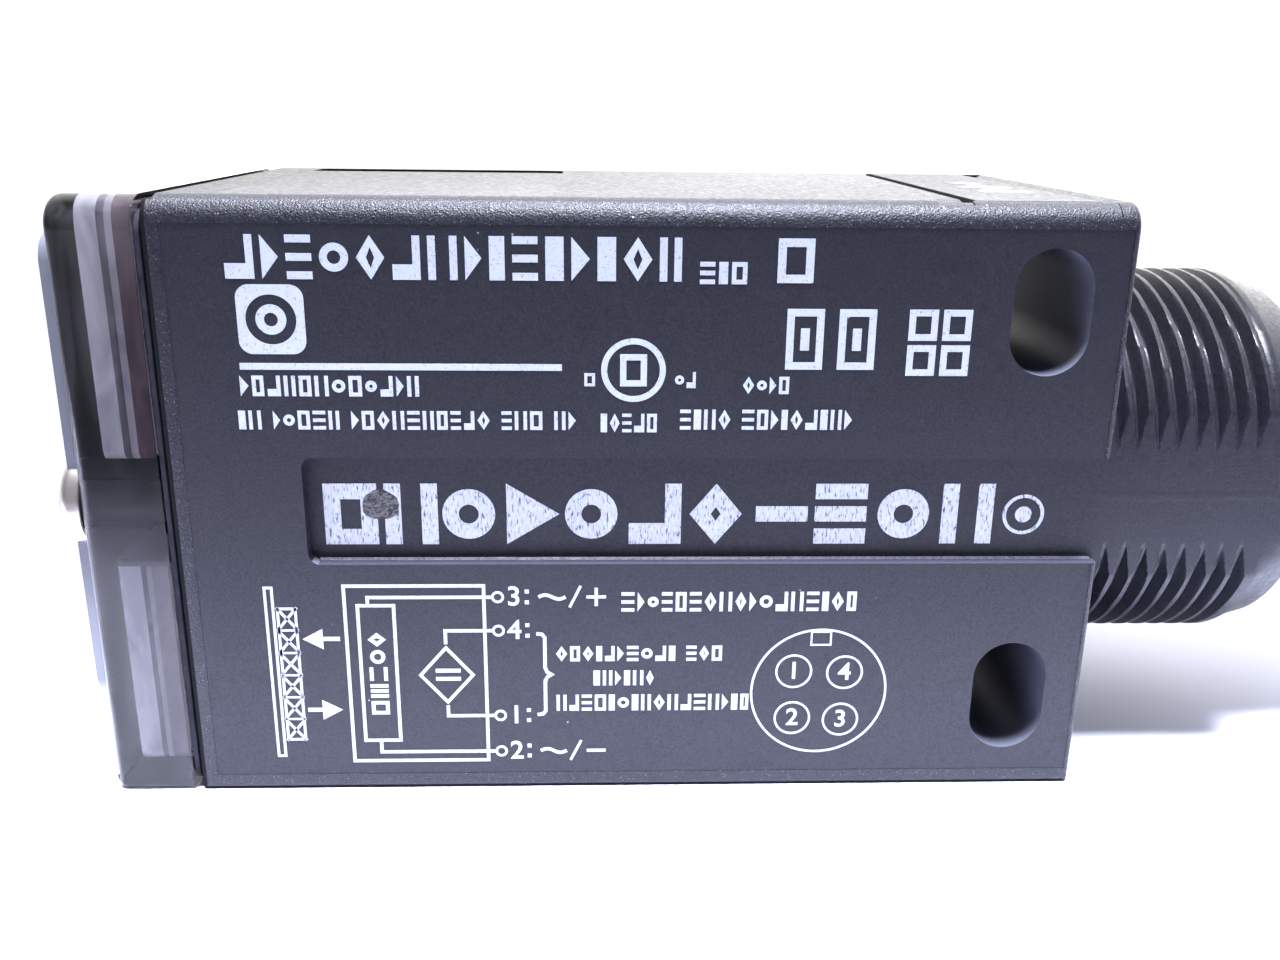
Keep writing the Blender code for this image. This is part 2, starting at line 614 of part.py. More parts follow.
def make_transformer():
    """A ferrite core with two windows, and a coil round its middle leg. The leg runs along Y."""
    middle, leg, window = 29.0, 2.4, 6.1
    front, back = POWER_FACE + GAP, 0.6
    frame = rounded_box((20.8, front, 7.0), (37.2, back, 15.0), 0.3, 1)
    core = add_object("transformer_core", frame, "ferrite")
    for side in (-1.0, 1.0):
        near, far = sorted((middle + side * leg, middle + side * window))
        boolean(core, box((near, front + 2.6, 6.0), (far, back - 2.6, 16.0)))
    reach = window - GAP
    wound = rounded_box((middle - reach, front + 2.7, 4.4), (middle + reach, back - 2.7, 17.6), 0.8)
    coil = add_object("transformer_coil", wound, "coil_tape", smooth=True)
    hole = leg + GAP
    boolean(coil, box((middle - hole, front, 6.9), (middle + hole, back, 15.1)))


def make_round_components():
    """The filter capacitor stands on the power board, and the varistor's disc stands on its edge there."""
    foot = POWER_FACE + GAP
    can = [(foot, 4.7), (foot + 0.6, 5.0), (foot + 1.6, 5.0), (foot + 2.1, 4.6), (foot + 2.6, 5.0)]
    can += [(foot + 15.8, 5.0), (foot + 16.3, 4.6)]
    add_object("filter_capacitor", turned(can, 24, "Y", (26.5, 24.2)), "capacitor_sleeve", smooth=True)
    disc = [(33.6, 3.6), (34.1, 4.4), (34.8, 4.6), (35.8, 4.6), (36.5, 4.4), (37.0, 3.6)]
    add_object("surge_varistor", turned(disc, 24, centre=(foot + 4.6, 24.0)), "varistor_blue", smooth=True)


def leaded_chip(name, corner, size, leads, face, towards):
    """A chip lying on a board face that is square to Y: a body with leads along its two X-wise edges.
    towards is the way the body stands off the board, and corner and size are in X and Z."""
    foot = face + towards * GAP
    top = foot + towards * size[2]
    near, far = sorted((foot + towards * 0.3, top))
    body = rounded_box((corner[0], near, corner[1]), (corner[0] + size[0], far, corner[1] + size[1]), 0.2, 1)
    chip = add_object(name, body, "chip_black")
    pitch = size[0] / leads
    near, far = sorted((foot, foot + towards * 0.7))
    for i in range(leads):
        middle = corner[0] + pitch * (i + 0.5)
        lead = box((middle - 0.25, near, corner[1] - 0.9), (middle + 0.25, far, corner[1] + size[1] + 0.9))
        boolean(chip, lead, "UNION")


def make_chips():
    leaded_chip("bridge_rectifier", (40.5, 6.0), (8.4, 6.4, 3.0), 2, POWER_FACE, 1.0)
    leaded_chip("controller_chip", (23.0, 18.0), (9.8, 7.6, 2.0), 7, LOGIC_FACE, -1.0)
    leaded_chip("optocoupler", (37.0, 18.0), (7.2, 6.4, 3.4), 3, LOGIC_FACE, -1.0)
    leaded_chip("output_mosfet_1", (36.0, 6.0), (6.5, 6.1, 2.3), 2, LOGIC_FACE, -1.0)
    leaded_chip("output_mosfet_2", (45.0, 6.0), (6.5, 6.1, 2.3), 2, LOGIC_FACE, -1.0)


def make_indicators():
    """The window plate in its recess, and three indicator lamps on their board under it. The plate
    stops short of the recess's +Y side, which leaves a groove there."""
    near, far = -WINDOW_HALF_WIDTH + WINDOW_GAP, WINDOW_HALF_WIDTH - WINDOW_GROOVE
    start, end = WINDOW_START + WINDOW_GAP, WINDOW_END - WINDOW_GAP
    outline = rounded_outline((start, near), (end, far), CORNER_RADIUS)
    pane = prism(outline, WINDOW_FLOOR + GAP, HOUSING_HEIGHT - WINDOW_SINK, "Z")
    add_object("indicator_window", pane, "window_smoke")
    lamp = [(36.7, 1.5), (40.1, 1.5), (40.7, 1.2), (41.1, 0.6)]
    for i, colour in enumerate(("green_led", "amber_led", "red_led")):
        axis = (INDICATOR_X, (i - 1) * INDICATOR_STEP)
        add_object(f"indicator_led_{i + 1}", turned(lamp, 16, "Z", axis), colour, smooth=True)


def make_trimmer():
    """The sensitivity trimmer: a body under the roof, and a slotted screw that stands in the well.
    The screw's origin is on its axis."""
    top, reach = ADJUSTER_BODY_TOP, 4.75
    start = CAVITY_END - GAP - 2.0 * reach
    case = rounded_box((start, TRIMMER_Y - reach, 33.2), (CAVITY_END - GAP, TRIMMER_Y + reach, top), 0.4, 1)
    case = add_object("trimmer_body", case, "trimmer_blue")
    shaft_foot, shaft_radius, head_radius = 37.7, 0.6, 0.8
    axis = (ADJUSTER_X, TRIMMER_Y)
    socket = [(shaft_foot - 2.0 * GAP, shaft_radius + GAP / 2.0), (top + PAST, shaft_radius + GAP / 2.0)]
    boolean(case, turned(socket, 16, "Z", axis))
    shaft = [(shaft_foot, shaft_radius), (top + GAP, shaft_radius), (top + GAP, head_radius)]
    shaft += [(ADJUSTER_TOP, head_radius), (ADJUSTER_TOP + GAP, head_radius - GAP)]
    screw = add_object("trimmer_screw", turned(shaft, 16, "Z"), "brass", (*axis, 0.0), True)
    slot = box((-0.16, -PAST, ADJUSTER_TOP - 0.45), (0.16, PAST, ADJUSTER_TOP + PAST))
    bmesh.ops.translate(slot, vec=(*axis, 0.0), verts=slot.verts)
    boolean(screw, slot)


def make_mode_switch():
    """The light or dark operate switch: a body with a channel, and a slider whose knob stands in the well."""
    top, reach, start = ADJUSTER_BODY_TOP, 5.0, 50.6
    middle = SWITCH_Y + SWITCH_TRAVEL / 2.0
    case = rounded_box((start, middle - reach, 34.2), (CAVITY_END - GAP, middle + reach, top), 0.4, 1)
    case = add_object("mode_switch_body", case, "chip_black")
    base_half, base_low, base_high, side, stem_half = 1.6, 38.4, 39.5, 0.55, 0.6
    channel_start = SWITCH_Y - base_half - GAP
    channel_end = SWITCH_Y + SWITCH_TRAVEL + base_half + GAP
    near, far = ADJUSTER_X - side - GAP, ADJUSTER_X + side + GAP
    boolean(case, box((near, channel_start, base_low - GAP), (far, channel_end, top + PAST)))
    knob = [(-base_half, base_low), (base_half, base_low), (base_half, base_high), (stem_half, base_high)]
    knob += [(stem_half, ADJUSTER_TOP), (-stem_half, ADJUSTER_TOP)]
    knob += [(-stem_half, base_high), (-base_half, base_high)]
    slider = prism(knob, -side, side, "X")
    add_object("mode_switch_slider", slider, "slider_white", (ADJUSTER_X, SWITCH_Y, 0.0))


def make_connector_shell():
    """The receptacle's shell, with a body in the neck's bore and a threaded cup behind, and its seal."""
    front, back, body = SEAL_X - SEAL_ROOM, SEAL_X + SEAL_ROOM, SHELL_BODY_RADIUS
    outer = [(SHELL_START, body - 0.8), (SHELL_START, body), (front, body), (front, SEAL_GROOVE_RADIUS)]
    outer += [(back, SEAL_GROOVE_RADIUS), (back, body), (NECK_END - 0.6, body), (NECK_END, SHELL_RADIUS)]
    outer += v_groove_profile(SHELL_FIRST_GROOVE, SHELL_PITCH, SHELL_TURNS, SHELL_RADIUS,
                              SHELL_ROOT_RADIUS, 0.66)
    outer += [(SHELL_END - 0.9, SHELL_RADIUS), (SHELL_END, SEAL_GROOVE_RADIUS)]
    step = INSERT_START - GAP
    inner = [(SHELL_END, SOCKET_RADIUS), (step, SOCKET_RADIUS), (step, SHELL_BORE_RADIUS)]
    inner.append((SHELL_START, SHELL_BORE_RADIUS))
    axis = (0.0, AXIS_Z)
    ring = turned(outer + inner, SHELL_SIDES, centre=axis, closed=True)
    shell = add_object("connector_shell", ring, "black_metal", smooth=True)
    low = (SOCKET_FLOOR + 0.6, -KEY_HALF_WIDTH, AXIS_Z + KEY_REACH)
    boolean(shell, box(low, (SHELL_END - 0.6, KEY_HALF_WIDTH, AXIS_Z + SOCKET_RADIUS + 0.7)), "UNION")
    turns = [math.radians(60.0 * i) for i in range(6)]
    seal = [(SEAL_X + SEAL_CORD_RADIUS * math.cos(turn), SEAL_RING_RADIUS + SEAL_CORD_RADIUS * math.sin(turn))
            for turn in turns]
    ring = turned(seal, SHELL_SIDES, centre=axis, closed=True)
    add_object("connector_o_ring", ring, "seal_rubber", smooth=True)


def contact_places():
    """Name number, Y and Z of each contact."""
    places = []
    for i, angle in enumerate(CONTACT_ANGLES):
        turn = math.radians(angle)
        y = CONTACT_CIRCLE_RADIUS * math.cos(turn)
        places.append((i + 1, y, AXIS_Z + CONTACT_CIRCLE_RADIUS * math.sin(turn)))
    return places


def make_contacts():
    """The insulating insert with its four contacts."""
    disc = [(INSERT_START, INSERT_RADIUS), (SOCKET_FLOOR, INSERT_RADIUS)]
    insert = turned(disc, SHELL_SIDES, centre=(0.0, AXIS_Z))
    insert = add_object("connector_insert", insert, "insert_plastic", smooth=True)
    radius = CONTACT_RADIUS + GAP / 2.0
    for number, y, z in contact_places():
        hole = [(INSERT_START - PAST, radius), (SOCKET_FLOOR + PAST, radius)]
        boolean(insert, turned(hole, 16, centre=(y, z)))
        pin = [(CONTACT_START, CONTACT_TAIL_RADIUS), (INSERT_START, CONTACT_TAIL_RADIUS)]
        pin += [(INSERT_START, CONTACT_RADIUS), (CONTACT_END - 0.9, CONTACT_RADIUS)]
        pin += [(CONTACT_END - 0.3, 0.8), (CONTACT_END, 0.35)]
        add_object(f"contact_pin_{number}", turned(pin, 16, centre=(y, z)), "brass", smooth=True)


def bezier(p0, p1, p2, p3, steps):
    """Points along a cubic curve."""
    points = []
    for i in range(steps + 1):
        t = i / steps
        s = 1.0 - t
        points.append(p0 * s ** 3 + p1 * 3.0 * s * s * t + p2 * 3.0 * s * t * t + p3 * t ** 3)
    return points


def make_lead_wires():
    """An insulated wire from the back of each contact to the power board, one smooth bend each."""
    colours = ("wire_black", "wire_white", "wire_red", "wire_green")
    for (number, y, z), colour, (end_x, end_z) in zip(contact_places(), colours, WIRE_BOARD_ENDS):
        start = Vector((CONTACT_START - 2.0 * GAP, y, z))
        end = Vector((end_x, POWER_FACE + 1.5 * GAP, end_z))
        points = bezier(start, start - Vector((WIRE_LEAD, 0, 0)), end + Vector((0, WIRE_LEAD, 0)), end, 14)
        curve = bpy.data.curves.new(f"lead_wire_{number}", "CURVE")
        curve.dimensions = "3D"
        curve.bevel_depth = WIRE_RADIUS * MM
        curve.bevel_resolution = 1
        curve.use_fill_caps = True
        spline = curve.splines.new("POLY")
        spline.points.add(len(points) - 1)
        for point, place in zip(spline.points, points):
            point.co = (*(place * MM), 1.0)
        curve.materials.append(finish(colour))
        wire = bpy.data.objects.new(f"lead_wire_{number}", curve)
        bpy.context.scene.collection.objects.link(wire)
        wire.parent = bpy.data.objects["SENSOR"]


def main():
    clear_scene()
    root = bpy.data.objects.new("SENSOR", None)
    bpy.context.scene.collection.objects.link(root)
    root.location = (-CENTRE_X * MM, 0.0, 0.0)
    make_housing()
    make_lid()
    make_lid_seal()
    make_lens_cover()
    make_lens_gasket()
    make_lens_screws()
    make_lenses()
    make_optics()
    make_boards()
    make_transformer()
    make_round_components()
    make_chips()
    make_indicators()
    make_trimmer()
    make_mode_switch()
    make_connector_shell()
    make_contacts()
    make_lead_wires()


main()
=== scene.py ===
"""The looks of a box photoelectric sensor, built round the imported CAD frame.

Shapes are drawn in millimetres in a working frame whose X starts at the housing's front plane, and
place() brings them to the row frame. +X runs to the connector, the label face looks along -Y.
"""
import json
import math
import random

import bmesh
import bpy
from mathutils import Matrix, Vector
from mathutils.geometry import tessellate_polygon


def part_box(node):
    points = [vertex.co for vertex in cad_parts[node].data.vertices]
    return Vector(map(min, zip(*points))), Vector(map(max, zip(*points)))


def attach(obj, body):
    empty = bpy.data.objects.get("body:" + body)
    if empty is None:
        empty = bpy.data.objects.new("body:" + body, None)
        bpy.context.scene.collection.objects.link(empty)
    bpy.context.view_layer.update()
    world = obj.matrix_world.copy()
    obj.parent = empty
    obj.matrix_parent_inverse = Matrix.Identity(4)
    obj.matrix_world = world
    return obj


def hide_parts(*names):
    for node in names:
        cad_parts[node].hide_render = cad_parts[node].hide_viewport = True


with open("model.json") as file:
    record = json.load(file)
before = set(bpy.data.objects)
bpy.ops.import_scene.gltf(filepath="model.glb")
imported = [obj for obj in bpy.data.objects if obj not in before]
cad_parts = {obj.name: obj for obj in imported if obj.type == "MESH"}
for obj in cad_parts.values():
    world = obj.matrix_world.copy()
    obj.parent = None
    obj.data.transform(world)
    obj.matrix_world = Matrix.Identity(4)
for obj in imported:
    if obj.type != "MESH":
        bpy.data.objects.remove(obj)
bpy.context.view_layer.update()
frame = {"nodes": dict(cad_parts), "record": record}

SCENE = bpy.context.scene
MM = 0.001
FRONT_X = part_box("housing")[0].x
TO_ROW = Matrix.Translation((FRONT_X, 0.0, 0.0)) @ Matrix.Scale(MM, 4)


def cad_box(node):
    """The two corners of a CAD node's box, in the working frame's millimetres."""
    return [Vector(((corner.x - FRONT_X) / MM, corner.y / MM, corner.z / MM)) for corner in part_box(node)]


# The housing, from the frame and from the part's own dimensions.
LENGTH = 65.1
NECK_END, HALF_WIDTH, HEIGHT = cad_box("housing")[1]
TOP_EDGE = 1.8
EDGE = 0.4
AXIS_Z = 21.5
CAVITY_HALF = 15.0
CAVITY_FLOOR = 2.6
CAVITY_ROOF = 40.0
CAVITY_END = 56.2
SLOT_X = 59.7
SLOT_HALF_WIDTH = 2.7
SLOT_HALF_LENGTH = 4.3
SLOT_HEIGHTS = (7.3, 35.8)
BAND_START = 9.1
BAND_LOW = 17.85
BAND_HIGH = 25.65
BAND_DEPTH = 1.04
HOUSING_MATERIALS = ("face", "grain", "inner", "lip_painted_highlight", "edge_painted_shade", "slot")
PANE = cad_box("indicator_window")
WINDOW_FAR = 15.5
WINDOW_FLOOR = 41.4
BAY_START = 53.4
BAY_END = 63.8
BAY_HALF = 16.2
BAY_FLOOR = 40.85
WELL_START = 54.2
WELL_HALF = 10.0
HINGE = cad_box("cover_hinge_pin")
HINGE_X = (HINGE[0].x + HINGE[1].x) / 2.0
HINGE_Z = (HINGE[0].z + HINGE[1].z) / 2.0
INDICATOR_X = 22.3
INDICATOR_STEP = 6.5
INDICATOR_RADIUS = 1.65
BOSS_END = 9.0
BOSS_HALF = 3.0
NECK_SPIGOT = 14.0
# The label face's sunk panel, the rounded step behind the lens cover, which is painted dark as shade, and
# small details of the edges.
PANEL = ((1.25, 1.2), (LENGTH - 0.45, 41.3))
PANEL_DEPTH = 0.03
REBATE = 0.42
TOP_STEP = 0.75
TOP_STEP_DEPTH = 0.34
BEAD = 0.16
NOTCH_INNER = 15.4
NOTCH_LENGTH = 1.7
NOTCH_FALL = 0.6
SEAM = 0.07
LID_GAP = 1.0
# How far a cutter reaches past the surface it goes through.
PAST = 1.0

# The neck and its thread.
CREST = 15.0
THREAD_DEPTH = 0.92
PITCH = 1.5
FIRST_GROOVE = LENGTH + 2.27
LAST_GROOVE = FIRST_GROOVE + 7 * PITCH
FLAT_HALF = 13.56
BORE = 11.6

# The lens cover.
COVER_LOW, COVER_HIGH = cad_box("lens_cover")
COVER_FRONT = -6.3
PAD_LOW, PAD_HIGH, PAD_HALF = 6.6, 40.4, 15.95
POCKET_FRONT = -4.4
POCKET_HALF = 16.3
POCKETS = {"receiver": (25.2, 42.3), "emitter": (2.1, 17.9)}
LENS_HEIGHTS = {"receiver": 33.1, "emitter": 10.0}
# In each pocket, where the first rib ends, the second starts and ends, and the tinted bond ends.
BANDS = {"receiver": (-3.0, -2.5, -2.02, -0.9), "emitter": (-2.86, -2.5, -2.14, -1.0)}
SCREW_Y = 14.0
SCREW_Z = 21.6
SCREW_RECESS = 3.3
SCREW_HOLE = 1.7
COVER_MATERIALS = ("smoked", "contact", "wine", "bond", "dark_painted_shade", "rib", "shade", "painted_reflection")

# The thickness of every printed film.
FILM = 0.02


# ---- shape helpers

def box(low, high):
    made = bmesh.new()
    bmesh.ops.create_cube(made, size=1.0)
    low, high = Vector(low), Vector(high)
    bmesh.ops.scale(made, vec=high - low, verts=made.verts)
    bmesh.ops.translate(made, vec=(low + high) / 2.0, verts=made.verts)
    return made


def round_edges(made, radius, segments, keep):
    edges = [e for e in made.edges if keep(e.verts[0].co, e.verts[1].co)]
    bmesh.ops.bevel(made, geom=edges, offset=radius, segments=segments, profile=0.5, affect="EDGES")
    return made


def along_x(a, b):
    return abs(a.x - b.x) > 1.0


def arc(centre, radius, first, last, steps):
    """Points on an arc between two angles in degrees."""
    points = []
    for i in range(steps + 1):
        angle = math.radians(first + (last - first) * i / steps)
        points.append((centre[0] + radius * math.cos(angle), centre[1] + radius * math.sin(angle)))
    return points


def circle(centre, radius, sides=48):
    return arc(centre, radius, 0.0, 360.0 * (sides - 1) / sides, sides - 1)


def rounded(low, high, radius, steps=8):
    """A rectangle with round corners, its two corners as (u, v)."""
    corners = (
        (high[0] - radius, high[1] - radius, 0.0),
        (low[0] + radius, high[1] - radius, 90.0),
        (low[0] + radius, low[1] + radius, 180.0),
        (high[0] - radius, low[1] + radius, 270.0),
    )
    points = []
    for u, v, turn in corners:
        points += arc((u, v), radius, turn, turn + 90.0, steps)
    return points


def slot_outline(height):
    """The outline in X and Z of the mounting slot whose middle is at a height."""
    reach = SLOT_HALF_LENGTH - SLOT_HALF_WIDTH
    upper = arc((SLOT_X, height + reach), SLOT_HALF_WIDTH, 0.0, 180.0, 24)
    return upper + arc((SLOT_X, height - reach), SLOT_HALF_WIDTH, 180.0, 360.0, 24)


PLACES = {
    "X": lambda u, v, w: (w, u, v),
    "Y": lambda u, v, w: (u, w, v),
    "Z": lambda u, v, w: (u, v, w),
}


def skin(made, rings, closed=False):
    """Joins rings of vertices, one to the next. The two ends become faces, or closed joins them."""
    if not closed:
        made.faces.new(rings[0])
        made.faces.new(rings[-1])
    following = rings[1:] + rings[:1] if closed else rings[1:]
    for first, second in zip(rings, following):
        for i in range(len(first)):
            j = (i + 1) % len(first)
            made.faces.new((first[i], first[j], second[j], second[i]))
    return made


def prism(outline, start, end, axis="X", between=()):
    """A flat outline drawn out along an axis: its (u, v) are Y, Z along X; X, Z along Y; X, Y along Z.
    Each station in between adds a ring of edges."""
    place_at = PLACES[axis]
    made = bmesh.new()
    rings = [[made.verts.new(place_at(u, v, w)) for u, v in outline] for w in (start, *between, end)]
    return skin(made, rings)


def turned(profile, sides=64, axis="X", centre=(0.0, 0.0)):
    """A solid turned about an axis from (station, radius) points."""
    place_at = PLACES[axis]
    made = bmesh.new()
    rings = []
    for station, radius in profile:
        ring = []
        for i in range(sides):
            angle = math.tau * (i + 0.5) / sides
            u, v = centre[0] + radius * math.cos(angle), centre[1] + radius * math.sin(angle)
            ring.append(made.verts.new(place_at(u, v, station)))
        rings.append(ring)
    return skin(made, rings)


def screw_holes(profile, sides):
    """Cutters for the holes of the two lens screws."""
    return [turned(profile, sides, centre=(side * SCREW_Y, SCREW_Z)) for side in (-1.0, 1.0)]


def link(name, data):
    """A new object in the scene."""
    made = bpy.data.objects.new(name, data)
    SCENE.collection.objects.link(made)
    return made


def as_object(name, made):
    """Links a bmesh as an object, still in the working frame."""
    bmesh.ops.recalc_face_normals(made, faces=made.faces)
    mesh = bpy.data.meshes.new(name)
    made.to_mesh(mesh)
    made.free()
    return link(name, mesh)


def evaluated(piece):
    """The object's mesh as its modifiers, or its text, make it."""
    graph = bpy.context.evaluated_depsgraph_get()
    return bpy.data.meshes.new_from_object(piece.evaluated_get(graph))


def apply_modifiers(piece):
    piece.data = evaluated(piece)
    piece.modifiers.clear()
    return piece


def boolean(piece, tools, operation="DIFFERENCE"):
    """Cuts each bmesh in tools from piece, or joins it on, one after another."""
    for made in tools:
        tool = as_object("tool", made)
        modifier = piece.modifiers.new("Boolean", "BOOLEAN")
        modifier.operation = operation
        modifier.solver = "EXACT"
        modifier.object = tool
        apply_modifiers(piece)
        bpy.data.objects.remove(tool)
    return piece


def soften(piece, width):
    """Rounds what sharp edges are left, so that they catch the light."""
    modifier = piece.modifiers.new("Bevel", "BEVEL")
    modifier.width = width
    modifier.segments = 2
    modifier.limit_method = "ANGLE"
    modifier.angle_limit = math.radians(35.0)
    modifier.harden_normals = True
    modifier.miter_outer = "MITER_ARC"
    for face in piece.data.polygons:
        face.use_smooth = True
    return apply_modifiers(piece)


def smooth(piece, angle=35.0):
    piece.data.shade_smooth()
    piece.data.set_sharp_from_angle(angle=math.radians(angle))
    return piece


def place(piece, body="sensor", replaces=(), materials=()):
    """Brings a finished piece to the row frame and fixes it to its body."""
    piece.data.transform(TO_ROW)
    for name in materials:
        piece.data.materials.append(MATERIALS[name])
    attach(piece, body)
    if replaces:
        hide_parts(*replaces)
    return piece


# ---- materials

def feed(owner, node, inputs):
    """Sets inputs, named with _ for spaces, to values or colours, or links them to other nodes' outputs."""
    for name, value in inputs.items():
        socket = node.inputs[name.replace("_", " ")]
        if isinstance(value, bpy.types.NodeSocket):
            owner.node_tree.links.new(value, socket)
        elif socket.type == "RGBA":
            socket.default_value = (*value, 1.0)
        else:
            socket.default_value = value
    return node


def new_node(owner, kind, **inputs):
    """A new node in a material or the world, with its inputs set."""
    return feed(owner, owner.node_tree.nodes.new("ShaderNode" + kind), inputs)


def set_inputs(material, **inputs):
    """Sets or links inputs of a material's own shader."""
    feed(material, material.node_tree.nodes["Principled BSDF"], inputs)


def new_material(name, colour, roughness, metallic=0.0, **inputs):
    """A Principled material."""
    made = bpy.data.materials.new(name)
    made.use_nodes = True
    set_inputs(made, Base_Color=colour, Roughness=roughness, Metallic=metallic, **inputs)
    return made


def coordinates(material):
    """The object's own coordinates, from one node that the material shares."""
    nodes = material.node_tree.nodes
    found = nodes.get("Places")
    if not found:
        found = nodes.new("ShaderNodeTexCoord")
        found.name = "Places"
    return found.outputs["Object"]


def noise(material, scale, detail=2.0, stretch=None, distortion=0.0):
    """A noise's factor; scale is in features per metre, stretch scales each axis further."""
    places = coordinates(material)
    if stretch:
        places = new_node(material, "Mapping", Vector=places, Scale=stretch).outputs["Vector"]
    node = new_node(material, "TexNoise", Vector=places, Scale=scale, Detail=detail, Distortion=distortion)
    return node.outputs["Fac"]


def ramp(owner, factor, stops):
    """Maps a factor through colour stops of (position, colour)."""
    node = new_node(owner, "ValToRGB", Fac=factor)
    elements = node.color_ramp.elements
    while len(elements) < len(stops):
        elements.new(0.5)
    for element, (position, colour) in zip(elements, stops):
        element.position = position
        element.color = (*colour, 1.0)
    return node.outputs["Color"]


def colour_by(material, factor, *stops):
    """Colours a material by a factor, through colour stops."""
    set_inputs(material, Base_Color=ramp(material, factor, stops))


def spread(owner, factor, low, high, out_low, out_high):
    """Maps a factor's range to another, clamped."""
    ends = {"From_Min": low, "From_Max": high, "To_Min": out_low, "To_Max": out_high}
    return new_node(owner, "MapRange", Value=factor, **ends).outputs["Result"]


def mix_colours(material, factor, source, colour):
    """Mixes a colour into another node's colour by a factor."""
    node = new_node(material, "Mix", Factor=factor)
    node.data_type = "RGBA"
    material.node_tree.links.new(source, node.inputs[6])
    node.inputs[7].default_value = (*colour, 1.0)
    return node.outputs[2]


def add_bump(material, *heights):
    """Bumps from (factor, distance in metres), stacked."""
    last = {}
    for factor, distance in heights:
        node = new_node(material, "Bump", Strength=1.0, Distance=distance, Height=factor, **last)
        last = {"Normal": node.outputs["Normal"]}
    set_inputs(material, **last)


def speck_mask(material, density, scale, size=0.035):
    """A factor that is 1 on sparse fine specks."""
    cells = new_node(material, "TexVoronoi", Vector=coordinates(material), Scale=scale, Randomness=1.0)
    chosen = new_node(material, "SeparateColor", Color=cells.outputs["Color"]).outputs["Red"]
    product = new_node(material, "Math")
    product.operation = "MULTIPLY"
    spot = spread(material, cells.outputs["Distance"], size, 2.2 * size, 1.0, 0.0)
    some = spread(material, chosen, 1.0 - density, 1.0 - density + 0.02, 0.0, 1.0)
    material.node_tree.links.new(spot, product.inputs[0])
    material.node_tree.links.new(some, product.inputs[1])
    return product.outputs[0]


def moulded_black(name, tones, roughness, grain, depth, specks=0.05, painted_glints=0.0):
    """Glass-filled black plastic: a base mottled between two tones, a fine moulded grain, a few light
    specks, and, where the grain is coarse, close painted glints: pale dots standing for light it catches."""
    dark, light = tones
    made = new_material(name, light, roughness, Specular_IOR_Level=0.3)
    colour = ramp(made, noise(made, 6500.0, 4.0), ((0.38, dark), (0.62, light)))
    colour = mix_colours(made, speck_mask(made, specks, 900.0), colour, (0.30, 0.32, 0.36))
    # Painted glints: pale dots mixed into the colour where the coarse grain would catch the light.
    if painted_glints:
        colour = mix_colours(made, speck_mask(made, painted_glints, 7000.0, 0.14), colour, (0.14, 0.15, 0.19))
    gloss = spread(made, noise(made, 2500.0, 3.0), 0.3, 0.7, roughness - 0.08, roughness + 0.1)
    set_inputs(made, Base_Color=colour, Roughness=gloss)
    add_bump(made, (noise(made, grain, 3.0), depth), (noise(made, grain * 0.4, 2.0), depth * 0.5))
    return made


def cloudy(name, dark, light):
    """A matt bonded surface seen through the smoked cover, with long soft clouds."""
    made = new_material(name, light, 0.7, Specular_IOR_Level=0.0)
    colour_by(made, noise(made, 520.0, 4.0, (1.0, 1.0, 0.3), 0.6), (0.36, dark), (0.62, light))
    return made


BLACK = ((0.0074, 0.0076, 0.0108), (0.0146, 0.0149, 0.0204))
# Painted light: a lighter copy of the housing black for its inside and the bands' upward walls, standing for
# light falling on them.
INNER_PAINTED_LIGHT = ((0.022, 0.024, 0.036), (0.032, 0.034, 0.050))
# Painted highlight: lighter tones for the bands' lower lips, on top of a glossier finish.
LIP_PAINTED_HIGHLIGHT = ((0.060, 0.064, 0.080), (0.110, 0.116, 0.140))
PLATE = ((0.024, 0.021, 0.025), (0.036, 0.032, 0.037))


def make_plastics():
    rubber = new_material("seal_rubber", (0.014, 0.015, 0.020), 0.75, Specular_IOR_Level=0.1)
    colour_by(rubber, noise(rubber, 1400.0, 4.0), (0.3, (0.010, 0.010, 0.014)), (0.7, (0.022, 0.023, 0.030)))
    add_bump(rubber, (noise(rubber, 3800.0, 3.0), 0.00003))
    return {
        "face": moulded_black("housing_label_face", BLACK, 0.50, 5200.0, 0.000010),
        # The grained edges carry painted glints.
        "grain": moulded_black("housing_grained_edge", BLACK, 0.40, 7500.0, 0.00006, 0.08, 0.16),
        "thread": moulded_black("neck_plastic", BLACK, 0.38, 4200.0, 0.000014),
        "lid": moulded_black("lid_plastic", BLACK, 0.45, 4300.0, 0.000016),
        "inner": moulded_black("inner_plastic", INNER_PAINTED_LIGHT, 0.55, 3600.0, 0.00002),
        "lip_painted_highlight": moulded_black("band_lip_painted_highlight", LIP_PAINTED_HIGHLIGHT, 0.26, 3600.0, 0.00001, 0.0),
        "pane": moulded_black("window_plate", PLATE, 0.40, 7500.0, 0.00006, 0.0),
        # Painted shade: a near-black, barely glossy copy of the housing plastic for the front step, the top
        # step's face and the foot's edge.
        "edge_painted_shade": new_material("front_edge_painted_shade", (0.003, 0.003, 0.004), 0.7, Specular_IOR_Level=0.1),
        # Painted light: a lighter, bluish copy of the housing black on the mounting slots' walls, standing
        # for light coming through them.
        "slot": new_material("slot_wall_painted_light", (0.060, 0.064, 0.085), 0.45),
        "rubber": rubber,
    }


